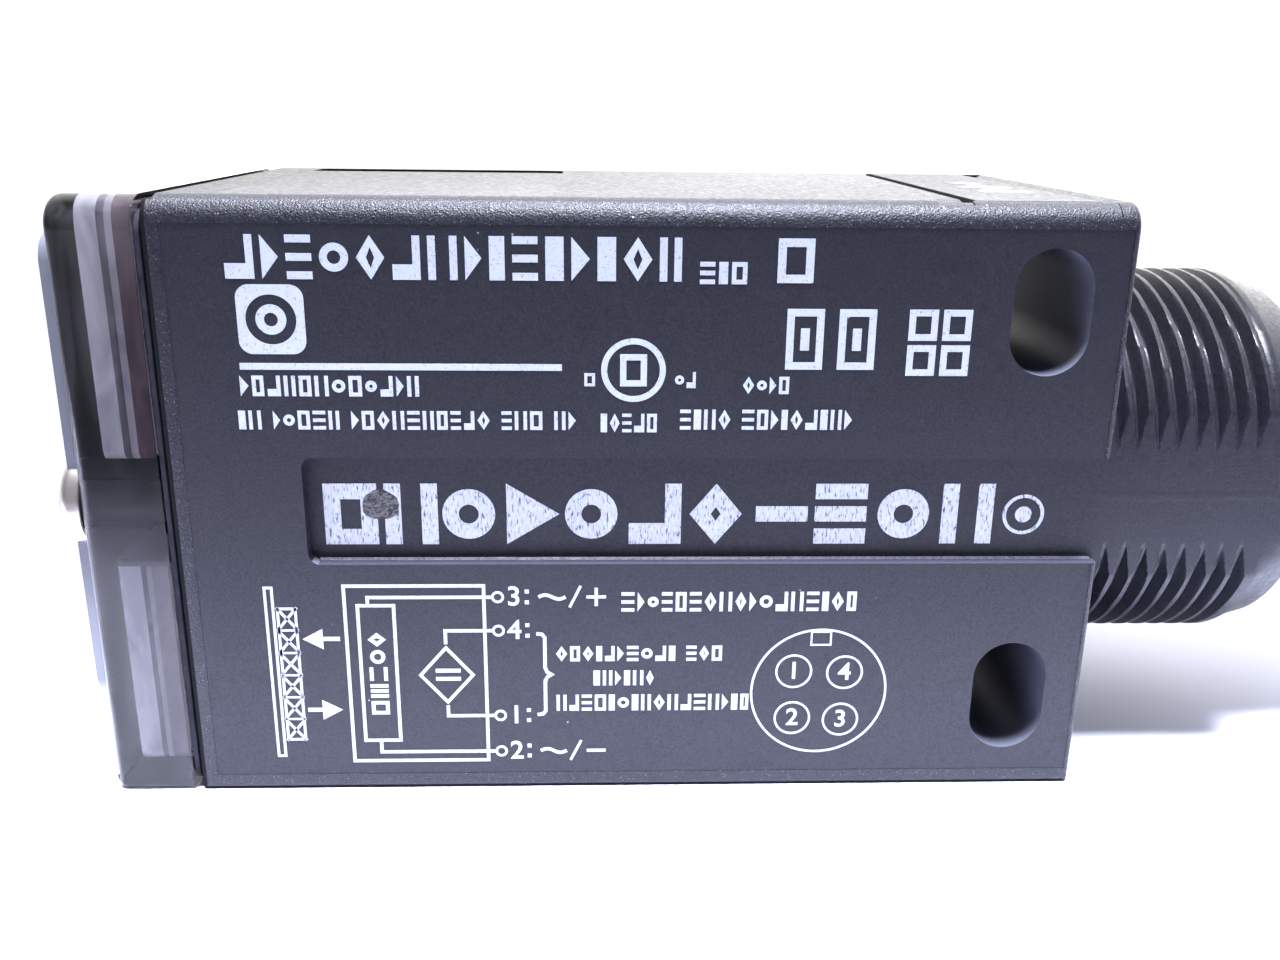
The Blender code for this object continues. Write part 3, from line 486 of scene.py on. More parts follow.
def make_optics():
    """The smoked cover, what is bonded behind it, painted shade behind it, the painted reflection on its
    pad's sides, the lens blocks and the screws.
    """
    smoked = new_material("smoked_acrylic", (0.95, 0.93, 0.95), 0.04, IOR=1.49, Transmission_Weight=1.0)
    haze = spread(smoked, noise(smoked, 700.0, 4.0), 0.45, 0.8, 0.01, 0.05)
    streaks = noise(smoked, 520.0, 3.0, (1.0, 1.0, 0.12), 0.5)
    clear = spread(smoked, streaks, 0.46, 0.62, 1.0, 0.978)
    set_inputs(smoked, Roughness=haze, Transmission_Weight=clear)
    add_bump(smoked, (noise(smoked, 260.0, 2.0), 0.000012))
    tint = new_node(smoked, "VolumeAbsorption", Color=(0.40, 0.375, 0.375), Density=530.0)
    feed(smoked, smoked.node_tree.nodes["Material Output"], {"Volume": tint.outputs["Volume"]})
    frosted = new_material("frosted_acrylic", (0.78, 0.79, 0.84), 0.55, IOR=1.49, Transmission_Weight=0.25)
    colour_by(frosted, noise(frosted, 500.0, 3.0), (0.3, (0.70, 0.71, 0.77)), (0.7, (0.86, 0.87, 0.91)))
    add_bump(frosted, (noise(frosted, 3000.0, 2.0), 0.00002))
    return {
        "smoked": smoked,
        "contact": cloudy("frosted_contact", (0.52, 0.54, 0.58), (0.92, 0.95, 0.97)),
        "rib": cloudy("frosted_rib", (0.34, 0.34, 0.38), (0.62, 0.62, 0.66)),
        "shade": cloudy("shaded_groove", (0.08, 0.075, 0.09), (0.24, 0.225, 0.26)),
        "wine": cloudy("wine_bond", (0.06, 0.045, 0.055), (0.19, 0.12, 0.135)),
        "bond": cloudy("clear_bond", (0.18, 0.17, 0.185), (0.33, 0.31, 0.33)),
        # Painted shade: opaque near-black on the pockets' rear walls, the emitter pocket's upper wall and the
        # screw recesses' walls.
        "dark_painted_shade": new_material("dark_painted_shade", (0.010, 0.008, 0.011), 0.5),
        # Painted reflection: an opaque pale, glossy grey on the pad's sides, standing for the white
        # surroundings they reflect.
        "painted_reflection": new_material("pad_side_painted_reflection", (0.115, 0.119, 0.138), 0.2, Specular_IOR_Level=0.7),
        "screw": new_material("pale_screw", (0.62, 0.57, 0.50), 0.24, 0.9),
        "frosted": frosted,
    }


def make_inks():
    """The label's worn ink, the band's streaked ink, and the scuffed patch."""
    ink = new_material("label_ink", (0.66, 0.74, 0.90), 0.55)
    worn = noise(ink, 6500.0, 3.0, distortion=0.6)
    colour_by(ink, worn, (0.30, (0.20, 0.22, 0.26)), (0.42, (0.42, 0.45, 0.51)))
    add_bump(ink, (noise(ink, 5200.0, 3.0), 0.00001))
    streaked = new_material("band_ink", (0.60, 0.68, 0.84), 0.6)
    streaks = noise(streaked, 2100.0, 5.0, (3.5, 1.0, 1.0), 0.5)
    stops = ((0.34, (0.06, 0.065, 0.08)), (0.43, (0.42, 0.44, 0.47)), (0.6, (0.52, 0.54, 0.56)))
    colour_by(streaked, streaks, *stops)
    add_bump(streaked, (streaks, 0.00002))
    scuffed = new_material("scuffed_plastic", (0.03, 0.028, 0.026), 0.6)
    fibres = noise(scuffed, 1700.0, 5.0, (1.0, 1.0, 1.6), 2.0)
    colour_by(scuffed, fibres, (0.44, (0.005, 0.005, 0.006)), (0.56, (0.105, 0.102, 0.098)))
    add_bump(scuffed, (fibres, 0.00006))
    return {"ink": ink, "band_ink": streaked, "scuffed": scuffed}


def make_slot_materials():
    """A detailed material for each of the record's slots that shows on a carried-over CAD node."""
    made = {}
    for entry in frame["record"]["materials"]:
        colour = tuple(entry["base_color"][:3])
        metal = entry["class"] in ("brushed_steel", "brass", "chrome")
        gloss = entry["class"] == "gloss_plastic"
        roughness = 0.28 if metal else 0.22 if gloss else 0.5
        material = new_material(f"slot_{entry['slot']}", colour, roughness, 1.0 if metal else 0.0)
        darker = tuple(0.78 * c for c in colour)
        lighter = tuple(min(1.0, 1.12 * c) for c in colour)
        grain = noise(material, 1100.0, 4.0, (1.0, 9.0, 9.0) if metal else None)
        colour_by(material, grain, (0.35, darker), (0.65, lighter))
        set_inputs(material, Roughness=spread(material, grain, 0.3, 0.7, roughness * 0.8, roughness * 1.3))
        add_bump(material, (noise(material, 3000.0, 3.0), 0.000008 if gloss or metal else 0.00002))
        made[entry["slot"]] = material
    return made


MATERIALS = {**make_plastics(), **make_optics(), **make_inks(), **make_slot_materials()}


# ---- the housing

def both_sides(first, second):
    """(low, high) of a span given as distances from the middle, on the label side and on the far side."""
    return ((-second, -first), (first, second))


def housing_cutters():
    """Everything that is hollow in the housing, in the order it is cut."""
    cutters = [box((-PAST, -CAVITY_HALF, CAVITY_FLOOR), (CAVITY_END, CAVITY_HALF, CAVITY_ROOF))]
    low = SLOT_HEIGHTS[0] + SLOT_HALF_LENGTH + 1.4
    high = SLOT_HEIGHTS[1] - SLOT_HALF_LENGTH - 1.4
    cutters.append(box((CAVITY_END - 1.0, -12.5, low), (LENGTH - 1.4, 12.5, high)))
    spigot = [(LENGTH - 1.6, NECK_SPIGOT), (LENGTH + PAST, NECK_SPIGOT)]
    cutters.append(turned(spigot, 128, centre=(0.0, AXIS_Z)))
    for height in SLOT_HEIGHTS:
        cutters.append(prism(slot_outline(height), -HALF_WIDTH - PAST, HALF_WIDTH + PAST, "Y"))
    bands = both_sides(HALF_WIDTH - BAND_DEPTH, HALF_WIDTH + PAST)
    panels = both_sides(HALF_WIDTH - PANEL_DEPTH, HALF_WIDTH + PAST)
    for band, panel in zip(bands, panels):
        outline = rounded((BAND_START, BAND_LOW), (LENGTH + 3.0, BAND_HIGH), 0.8)
        cutters.append(prism(outline, *band, "Y"))
        cutters.append(box((PANEL[0][0], panel[0], PANEL[0][1]), (PANEL[1][0], panel[1], PANEL[1][1])))
    return cutters + top_cutters()


def top_cutters():
    """The indicators' holes, the lid's bay and well, and the fine steps round the top face."""
    above = HEIGHT + PAST
    cutters = []
    for i in (-1, 0, 1):
        axis = (INDICATOR_X, i * INDICATOR_STEP)
        hole = [(CAVITY_ROOF - PAST, INDICATOR_RADIUS), (WINDOW_FLOOR + 0.5, INDICATOR_RADIUS)]
        cutters.append(turned(hole, 32, "Z", axis))
    cutters.append(box((BAY_START, -BAY_HALF, BAY_FLOOR), (BAY_END, BAY_HALF, above)))
    cutters.append(box((WELL_START, -WELL_HALF, CAVITY_ROOF - PAST), (CAVITY_END - 0.05, WELL_HALF, 42.0)))
    slope = [(BAY_END - 0.1, HEIGHT - 0.4), (BAY_END + 1.0, HEIGHT), (BAY_END + 1.0, above),
             (BAY_END - 0.1, above)]
    cutters.append(prism(slope, -BAY_HALF, BAY_HALF, "Y"))
    step = (-PAST, -HALF_WIDTH - PAST, HEIGHT - TOP_STEP_DEPTH)
    cutters.append(box(step, (TOP_STEP, HALF_WIDTH + PAST, above)))
    for side, seam in zip((-1.0, 1.0), both_sides(16.0, HALF_WIDTH + PAST)):
        inner, outer = side * NOTCH_INNER, side * (HALF_WIDTH + PAST)
        notch = [(inner, HEIGHT), (outer, HEIGHT - NOTCH_FALL), (outer, above), (inner, above)]
        cutters.append(prism(notch, BAY_START - NOTCH_LENGTH, BAY_START + 0.7))
        cutters.append(box((BAY_END - SEAM, seam[0], HEIGHT - 0.9), (BAY_END, seam[1], above)))
    return cutters


def make_window_plate():
    """The window plate lies flush in the top; it stops short of the far side and leaves a groove there."""
    low, high = PANE
    plate = prism(rounded((low.x, low.y), (high.x, high.y), 0.8), low.z, HEIGHT, "Z")
    place(as_object("window_plate", plate), "sensor", ("indicator_window",), ("pane",))


def housing_block():
    """The solid outside: rounder along the top, nearly sharp elsewhere."""
    block = box((0.0, -HALF_WIDTH, 0.0), (LENGTH, HALF_WIDTH, HEIGHT))
    round_edges(block, TOP_EDGE, 8, lambda a, b: along_x(a, b) and min(a.z, b.z) > HEIGHT - 0.1)
    round_edges(block, EDGE, 4, lambda a, b: min(a.x, b.x) > LENGTH - 0.1)
    round_edges(block, REBATE, 3, lambda a, b: max(a.x, b.x) < 0.1)
    round_edges(block, EDGE, 4, lambda a, b: along_x(a, b) and max(a.z, b.z) < 0.1)
    return block


def housing_bosses():
    """The two screw bosses, and a bead along the foot of each sunk band."""
    bosses = []
    for side, boss in zip((-1.0, 1.0), both_sides(11.7, CAVITY_HALF + 0.6)):
        bosses.append(box((0.05, boss[0], SCREW_Z - BOSS_HALF), (BOSS_END, boss[1], SCREW_Z + BOSS_HALF)))
        wall = side * (HALF_WIDTH - BAND_DEPTH)
        inner, outer = wall - side * 0.2, wall + side * BEAD
        bead = [(inner, BAND_LOW - 0.2), (outer, BAND_LOW - 0.2), (outer, BAND_LOW), (wall, BAND_LOW + BEAD),
                (inner, BAND_LOW + BEAD)]
        bosses.append(prism(bead, BAND_START + 0.6, LENGTH - 0.2))
    return bosses


def make_housing():
    piece = as_object("housing_shell", housing_block())
    boolean(piece, housing_cutters())
    boolean(piece, housing_bosses(), "UNION")
    boolean(piece, screw_holes([(-PAST, 1.5), (7.6, 1.5)], 24))
    soften(piece, 0.14)
    recess = rounded((PANE[0].x, PANE[0].y), (PANE[1].x, WINDOW_FAR), 0.8)
    boolean(piece, [prism(recess, WINDOW_FLOOR, HEIGHT + PAST, "Z")])
    for face in piece.data.polygons:
        face.material_index = HOUSING_MATERIALS.index(housing_material(face))
    place(piece, replaces=("housing",), materials=HOUSING_MATERIALS)


def housing_material(face):
    """Fine grain on the sunk panels, coarse round them with painted glints, lighter inside as painted light,
    lighter and glossier on the bands' lips as a painted highlight, and near-black painted shade where the
    front step and the foot's edge are in shade."""
    centre, normal = face.center, face.normal
    outside = abs(centre.y)
    # Painted shade: the front step's rounding, the top step's front face and the foot's lower edge get
    # near-black.
    if centre.x < REBATE and (outside > HALF_WIDTH - REBATE - 0.02 or centre.z > HEIGHT - 1.0):
        return "edge_painted_shade"
    if centre.x < 0.9 and centre.z > HEIGHT - 0.4 and normal.x < -0.3:
        return "edge_painted_shade"
    if 0.01 < centre.z < EDGE and normal.z < -0.3 and outside > HALF_WIDTH - EDGE:
        return "edge_painted_shade"
    if outside < HALF_WIDTH - 0.5 * PANEL_DEPTH and abs(normal.y) > 0.999:
        return "face"
    near_face = HALF_WIDTH - BAND_DEPTH - 0.1 < outside
    if near_face and BAND_LOW - 0.3 < centre.z < BAND_LOW + 0.2 and centre.x > BAND_START and normal.z > 0.05:
        # Painted highlight on the rounded lip; its flat upward wall gets the inner plastic's painted light.
        return "lip_painted_highlight" if normal.z < 0.97 else "inner"
    if abs(centre.x - SLOT_X) < SLOT_HALF_WIDTH + 0.2 and outside < 14.0 and centre.z < HEIGHT - 1.0:
        # Painted light on the slots' walls.
        return "slot"
    if outside < 14.0 and 0.5 < centre.z < HEIGHT - 1.0 and 0.5 < centre.x < LENGTH - 0.5:
        # Painted light: the inside surfaces get the lighter copy of the black plastic.
        return "inner"
    return "grain"


def thread_depth(station, angle):
    """How deep the groove is at a station and an angle, for a right-handed thread with faded ends."""
    turns = (station - FIRST_GROOVE) / PITCH - (angle - math.pi) / math.tau
    offset = abs(turns - round(turns))
    depth = THREAD_DEPTH * min(1.0, max(0.0, (0.385 - offset) / 0.31))
    run_in = min(1.0, max(0.0, (station - (FIRST_GROOVE - 1.1)) / 0.5))
    run_out = min(1.0, max(0.0, (LAST_GROOVE + 0.95 - station) / 0.35))
    return depth * run_in * run_out


def neck_stations():
    """(station, radius before the thread is cut) along the neck's outside."""
    spigot = NECK_SPIGOT - 0.05
    stations = [(LENGTH - 1.3, spigot), (LENGTH + 0.02, spigot), (LENGTH + 0.03, CREST)]
    count = int((LAST_GROOVE + 1.0 - (FIRST_GROOVE - 1.2)) / 0.09)
    stations += [(FIRST_GROOVE - 1.2 + 0.09 * i, CREST) for i in range(count)]
    stations += [(LAST_GROOVE + 1.0, CREST), (LAST_GROOVE + 1.4, CREST), (LAST_GROOVE + 1.7, CREST - 0.1)]
    stations += [(NECK_END - 1.9, 14.4), (NECK_END - 0.4, 14.0), (NECK_END - 0.1, 13.8), (NECK_END, 13.5)]
    return stations


def make_neck():
    """The threaded neck: a helical groove, a flat on each label side, a parting line along each flat."""
    sides = 360
    made = bmesh.new()
    rings = []
    for station, radius in neck_stations():
        ring = []
        for i in range(sides):
            angle = math.tau * i / sides
            reach = radius - (thread_depth(station, angle) if radius == CREST else 0.0)
            y, z = reach * math.cos(angle), reach * math.sin(angle)
            if station > LENGTH + 0.02:
                ridge = 0.02 if i in (0, sides // 2) else 0.0
                y = max(-FLAT_HALF - ridge, min(FLAT_HALF + ridge, y))
            ring.append(made.verts.new((station, y, AXIS_Z + z)))
        rings.append(ring)
    turns = [math.tau * i / sides for i in range(sides)]
    bore = [(BORE * math.cos(turn), AXIS_Z + BORE * math.sin(turn)) for turn in turns]
    for station in (NECK_END, LENGTH - 1.3):
        rings.append([made.verts.new((station, y, z)) for y, z in bore])
    piece = smooth(as_object("threaded_neck", skin(made, rings, closed=True)), 28.0)
    place(piece, replaces=("housing",), materials=("thread",))


def make_lid():
    """The lid: a plate with its hinge barrel and broken edges."""
    thick = HEIGHT - HINGE_Z
    start = BAY_START + LID_GAP
    outline = [(start, HEIGHT), (start, HINGE_Z)] + arc((HINGE_X, HINGE_Z), thick, 180.0, 450.0, 30)
    half = BAY_HALF - 0.03
    piece = as_object("adjustment_lid", prism(outline, -half, half, "Y"))
    boolean(piece, [turned([(-half - 1.0, 0.48), (half + 1.0, 0.48)], 24, "Y", (HINGE_X, HINGE_Z))])
    soften(piece, 0.12)
    place(piece, "lid", ("adjustment_cover",), ("lid",))


# ---- the optical end

def make_lens_cover():
    back = COVER_HIGH.x
    half = COVER_HIGH.y
    block = box((COVER_FRONT, -half, 0.03), (back, half, COVER_HIGH.z))
    round_edges(block, 2.2, 10, lambda a, b: along_x(a, b) and min(a.z, b.z) > 1.0)
    round_edges(block, 0.4, 4, lambda a, b: along_x(a, b) and max(a.z, b.z) < 1.0)
    round_edges(block, 0.9, 6, lambda a, b: max(a.x, b.x) < COVER_FRONT + 0.01)
    piece = as_object("smoked_lens_cover", block)
    pad = prism(rounded((-PAD_HALF, PAD_LOW), (PAD_HALF, PAD_HIGH), 2.0, 16), COVER_LOW.x, COVER_FRONT + 0.5)
    round_edges(pad, 0.75, 6, lambda a, b: max(a.x, b.x) < COVER_LOW.x + 0.01)
    boolean(piece, [pad], "UNION")
    cutters = []
    for name, (low, high) in POCKETS.items():
        rim = rounded((-POCKET_HALF, low), (POCKET_HALF, high), 0.8)
        cutters.append(prism(rim, POCKET_FRONT, back + PAST, between=BANDS[name]))
    hole = [(COVER_LOW.x - 2.0, SCREW_RECESS), (COVER_FRONT, SCREW_RECESS), (COVER_FRONT, SCREW_HOLE),
            (back + PAST, SCREW_HOLE)]
    boolean(piece, cutters + screw_holes(hole, 48))
    soften(piece, 0.12)
    for face in piece.data.polygons:
        face.material_index = COVER_MATERIALS.index(cover_material(face))
    place(piece, replaces=("lens_cover",), materials=COVER_MATERIALS)


def cover_material(face):
    """Which of the cover's materials a face has: the lens blocks' ribs press on the pocket walls."""
    past = 0.02
    centre, normal = face.center, face.normal
    # Painted shade on the screw recesses' walls.
    if math.hypot(abs(centre.y) - SCREW_Y, centre.z - SCREW_Z) < SCREW_RECESS + 0.1 and abs(normal.x) < 0.5:
        return "dark_painted_shade"
    if centre.x < COVER_FRONT - 0.02:
        # Painted reflection on the pad's sides; the pad's front face stays smoked.
        return "painted_reflection" if abs(normal.x) < 0.93 else "smoked"
    for name, (low, high) in POCKETS.items():
        inside = abs(centre.y) < POCKET_HALF + past and low - past < centre.z < high + past
        if not inside or abs(normal.x) > 0.1 or centre.x < POCKET_FRONT:
            continue
        first_end, second_start, second_end, bond_end = BANDS[name]
        shelf = name == "emitter" and abs(normal.z) > 0.3 and centre.z > low + 1.0
        # Painted shade on the emitter pocket's upper wall and on the pockets' walls behind the tinted bond.
        if shelf or centre.x > bond_end:
            return "dark_painted_shade"
        if centre.x < first_end:
            return "contact"
        if centre.x < second_end:
            return "shade" if centre.x < second_start else "rib"
        return "wine" if name == "receiver" else "bond"
    return "smoked"


def make_lenses():
    """A frosted block in each pocket: two ribs round its side with a groove between, and a domed back."""
    gap, groove = 0.15, 0.5
    half = POCKET_HALF - gap
    for name, (low, high) in POCKETS.items():
        first_end, second_start, second_end, _ = BANDS[name]
        ribs = ((POCKET_FRONT + 0.1, first_end, 0.0), (first_end - 0.02, second_start + 0.02, groove),
                (second_start, second_end, 0.0))
        blocks = []
        for start, end, step in ribs:
            corner = (half - step, high - gap - step)
            blocks.append(prism(rounded((-corner[0], low + gap + step), corner, 0.7), start, end))
        piece = as_object(f"{name}_lens_block", blocks[0])
        boolean(piece, blocks[1:], "UNION")
        tray = prism(rounded((-half + 1.3, low + 1.4), (half - 1.3, high - 1.4), 0.7), -3.1, 1.0)
        boolean(piece, [tray])
        turns = [math.radians(7.5 * i) for i in range(11)]
        dome = [(-3.2 + 1.3 * math.sin(turn), 6.6 * math.cos(turn)) for turn in turns]
        boolean(piece, [turned([(-3.6, 6.6)] + dome, 64, centre=(0.0, LENS_HEIGHTS[name]))], "UNION")
        smooth(piece)
        place(piece, replaces=(f"{name}_lens",), materials=("frosted",))


def make_lens_gasket():
    low, high = cad_box("lens_gasket")
    outline = rounded((low.y, low.z), (high.y, high.z - 0.8), 1.6)
    piece = as_object("lens_seal", prism(outline, low.x, high.x))
    cutters = [prism(rounded((-14.6, a), (14.6, b), 0.8), -2.0, 1.0) for a, b in POCKETS.values()]
    boolean(piece, cutters + screw_holes([(-2.0, SCREW_HOLE), (PAST, SCREW_HOLE)], 32))
    soften(piece, 0.1)
    place(piece, replaces=("lens_gasket",), materials=("rubber",))


def cross_drive(tip, axis):
    """A tapered cross recess for a screw head, as two crossed wedges joined."""
    tools = []
    for u, v in ((1.5, 0.28), (0.28, 1.5)):
        made = bmesh.new()
        near = [(u, v), (-u, v), (-u, -v), (u, -v)]
        mouth = [made.verts.new((tip - 0.5, axis[0] + a * 1.15, axis[1] + b)) for a, b in near]
        floor = [made.verts.new((tip + 1.25, axis[0] + a * 0.45, axis[1] + b * 0.45)) for a, b in near]
        tools.append(skin(made, [mouth, floor]))
    return tools


def make_lens_screws():
    for node, side in (("lens_screw_left", -1.0), ("lens_screw_right", 1.0)):
        low, high = cad_box(node)
        radius = (high.y - low.y) / 2.0 + 0.35
        under = COVER_FRONT - 0.1
        rise = under - low.x
        head = []
        for i in range(1, 13):
            turn = math.radians(7.5 * i)
            head.append((under - 0.75 - (rise - 0.75) * math.cos(turn), radius * math.sin(turn) ** 0.8))
        head += [(under - 0.08, radius), (under, radius - 0.08)]
        shank = [(under, 1.42)]
        for i in range(26):
            station = under + 1.0 + 0.5 * i
            shank.append((station, 1.42 if i % 2 == 0 else 1.15))
        shank += [(high.x - 0.4, 0.9), (high.x, 0.3)]
        axis = (side * SCREW_Y, SCREW_Z)
        piece = as_object(f"{node}_turned", turned(head + shank, 64, centre=axis))
        boolean(piece, cross_drive(low.x, axis))
        smooth(piece, 30.0)
        place(piece, replaces=(node,), materials=("screw",))


# ---- the connector

def make_connector():
    low, high = cad_box("connector_shell")
    sides = 192
    shell_radius, depth, pitch, first, turns = 11.1, 0.85, 1.5875, 86.4, 5
    made = bmesh.new()
    outer = [(low.x, 10.6), (low.x, 11.4), (78.2, 11.4), (78.2, 10.3), (79.8, 10.3), (79.8, 11.4)]
    outer += [(82.0, 11.4), (82.6, shell_radius), (first - 1.1, shell_radius)]
    threaded = [(first - 1.0 + 0.09 * i, shell_radius) for i in range(int((turns * pitch + 0.9) / 0.09))]
    tail = [(high.x - 0.9, shell_radius), (high.x - 0.1, 10.4), (high.x, 10.3), (high.x, 9.2), (76.4, 9.2)]
    profile = outer + threaded + tail + [(76.4, 8.2), (low.x, 8.2)]
    rings = []
    for index, (station, radius) in enumerate(profile):
        grooved = len(outer) <= index < len(outer) + len(threaded)
        ring = []
        for i in range(sides):
            angle = math.tau * (i + 0.5) / sides
            reach = radius
            if grooved:
                turn = (station - first) / pitch - angle / math.tau
                offset = abs(turn - round(turn))
                fade = min(1.0, (station - threaded[0][0]) / 0.6, (threaded[-1][0] - station) / 0.6)
                reach -= depth * fade * min(1.0, max(0.0, (0.44 - offset) / 0.38))
            ring.append(made.verts.new((station, reach * math.cos(angle), AXIS_Z + reach * math.sin(angle))))
        rings.append(ring)
    piece = as_object("receptacle_shell", skin(made, rings, closed=True))
    boolean(piece, [box((85.6, -1.0, AXIS_Z + 8.4), (high.x - 0.6, 1.0, AXIS_Z + 9.7))], "UNION")
    smooth(piece, 30.0)
    place(piece, replaces=("connector_shell",), materials=("black_metal",))


# ---- the print

class Print:
    """Flat shapes in the label's X and Z, which become one thin raised film of ink."""

    def __init__(self):
        self.shapes = []
        self.digits = []

    def shape(self, *outlines):
        """One shape: its outer outline, then its holes."""
        self.shapes.append(outlines)

    def rectangle(self, low, high):
        self.shape(corners(low, high))

    def frame(self, low, high, width):
        inner = corners((low[0] + width, low[1] + width), (high[0] - width, high[1] - width))
        self.shape(corners(low, high), inner)

    def ring(self, centre, radius, width, sides=64):
        self.shape(circle(centre, radius, sides), circle(centre, radius - width, sides))

    def line(self, points, width):
        self.shape(thick_line(points, width))


def corners(low, high):
    return [low, (high[0], low[1]), high, (low[0], high[1])]


def thick_line(points, width):
    """The outline of a line with mitred corners."""
    left, right = [], []
    for i, point in enumerate(points):
        here = Vector(point)
        before = (here - Vector(points[i - 1])).normalized() if i > 0 else None
        after = (Vector(points[i + 1]) - here).normalized() if i + 1 < len(points) else None
        before, after = before or after, after or before
        across = Vector((-before.y - after.y, before.x + after.x)).normalized()
        reach = width / 2.0 / max(0.3, across.dot(Vector((-after.y, after.x))))
        left.append(tuple(here + across * reach))
        right.append(tuple(here - across * reach))
    return left + right[::-1]


def on_label_side(plane):
    """Stands a print on the label side: its film lies on Y = plane and faces -Y."""
    return Matrix.Translation((0.0, plane - FILM / 2.0, 0.0)) @ Matrix.Rotation(math.pi / 2.0, 4, "X")


def ink_piece(name, ink, placing, ink_name, body="sensor"):
    """Makes films of the shapes and numerals, and brings them to their surface."""
    made = bmesh.new()
    for outlines in ink.shapes:
        add_film(made, outlines)
    for text, centre, height in ink.digits:
        add_digit(made, text, centre, height)
    bmesh.ops.transform(made, matrix=placing, verts=made.verts)
    place(as_object(name, made), body, materials=(ink_name,))


def add_film(made, outlines):
    """Adds one flat shape with its holes, as a closed film about the XY plane."""
    flat = [[Vector((u, v, 0.0)) for u, v in outline] for outline in outlines]
    triangles = tessellate_polygon(flat)
    points = [point for outline in flat for point in outline]
    front, back = [], []
    for point in points:
        front.append(made.verts.new((point.x, point.y, FILM / 2.0)))
        back.append(made.verts.new((point.x, point.y, -FILM / 2.0)))
    for a, b, c in triangles:
        made.faces.new((front[a], front[b], front[c]))
        made.faces.new((back[c], back[b], back[a]))
    first = 0
    for outline in flat:
        count = len(outline)
        for i in range(count):
            j, k = first + i, first + (i + 1) % count
            made.faces.new((front[j], front[k], back[k], back[j]))
        first += count


def add_digit(made, text, centre, height):
    """Adds a numeral in Blender's own font, centred on a point."""
    curve = bpy.data.curves.new("numeral", "FONT")
    curve.body = text
    curve.size = height * 1.38
    curve.align_x = "CENTER"
    curve.align_y = "CENTER"
    curve.extrude = FILM / 2.0
    curve.offset = height * 0.02
    source = link("numeral", curve)
    mesh = evaluated(source)
    bpy.data.objects.remove(source)
    mesh.transform(Matrix.Translation((*centre, 0.0)))
    made.from_mesh(mesh)


def add_sign(ink, kind, low, high, stroke):
    """Adds one abstract sign that fills a cell. None of them is a letter."""
    (x0, z0), (x1, z1) = low, high
    middle = ((x0 + x1) / 2.0, (z0 + z1) / 2.0)
    if kind == "bars":
        ink.rectangle(low, (x0 + stroke, z1))
        ink.rectangle((x1 - stroke, z0), high)
    elif kind == "steps":
        level = middle[1] - 0.15 * (z1 - z0)
        ink.shape([low, (x1, z0), high, (x1 - stroke, z1), (x1 - stroke, level), (x0, level)])
    elif kind == "ring":
        ink.ring(middle, min(x1 - x0, z1 - z0) / 2.0, stroke, 32)
    elif kind == "window":
        ink.frame(low, high, stroke)
    elif kind == "wedge":
        ink.shape([low, (x1, middle[1]), (x0, z1)])
    elif kind == "diamond":
        u, v = stroke * 1.3, stroke * 1.5
        hole = [(middle[0], z0 + v), (x1 - u, middle[1]), (middle[0], z1 - v), (x0 + u, middle[1])]
        ink.shape([(middle[0], z0), (x1, middle[1]), (middle[0], z1), (x0, middle[1])], hole)
    elif kind == "stack":
        for z in (z0, middle[1] - stroke / 2.0, z1 - stroke):
            ink.rectangle((x0, z), (x1, z + stroke))
    elif kind == "dash":
        ink.rectangle((x0, middle[1] - stroke / 2.0), (x1, middle[1] + stroke / 2.0))
    else:
        ink.rectangle(low, high)


SIGNS = ("window", "bars", "ring", "steps", "stack", "wedge", "diamond", "block")


def sign_row(ink, start, end, low, high, cell, stroke, seed, gaps):
    """A row of abstract signs that stands in for a line of words."""
    draw = random.Random(seed)
    x, gap = start, cell * 0.24
    last = None
    while x + cell * 0.5 < end:
        kind = draw.choice([s for s in SIGNS if s != last])
        last = kind
        wide = min(cell * draw.uniform(0.8, 1.0), end - x)
        if kind in ("block", "wedge"):
            wide *= 0.6
        add_sign(ink, kind, (x, low), (x + wide, high), stroke)
        x += wide + gap
        if draw.random() < gaps:
            x += cell * 0.7


def label_heading(ink):
    sign_row(ink, 5.2, 34.8, 37.75, 40.6, 2.05, 0.5, 3, 0.0)
    sign_row(ink, 36.0, 39.8, 37.6, 39.05, 1.05, 0.3, 5, 0.0)
    add_sign(ink, "window", (41.1, 37.7), (43.5, 40.6), 0.55)


def label_emblems(ink):
    """A plain round-cornered badge, a ring with a square, and two marks of nested squares."""
    ink.shape(rounded((5.7, 32.8), (10.1, 37.4), 0.9), circle((7.9, 35.1), 1.65))
    ink.ring((7.9, 35.1), 1.0, 0.55)
    ink.rectangle((5.6, 31.75), (26.9, 32.2))
    ink.ring((31.7, 31.8), 2.17, 0.4)
    ink.frame((30.8, 30.7), (32.6, 32.9), 0.42)
    for left in (41.9, 45.4):
        ink.frame((left, 31.9), (left + 2.5, 36.0), 0.5)
        ink.rectangle((left + 0.95, 33.2), (left + 1.55, 34.7))
    for left in (50.1, 52.4):
        for low in (31.5, 33.9):
            ink.frame((left, low), (left + 1.95, low + 2.1), 0.45)


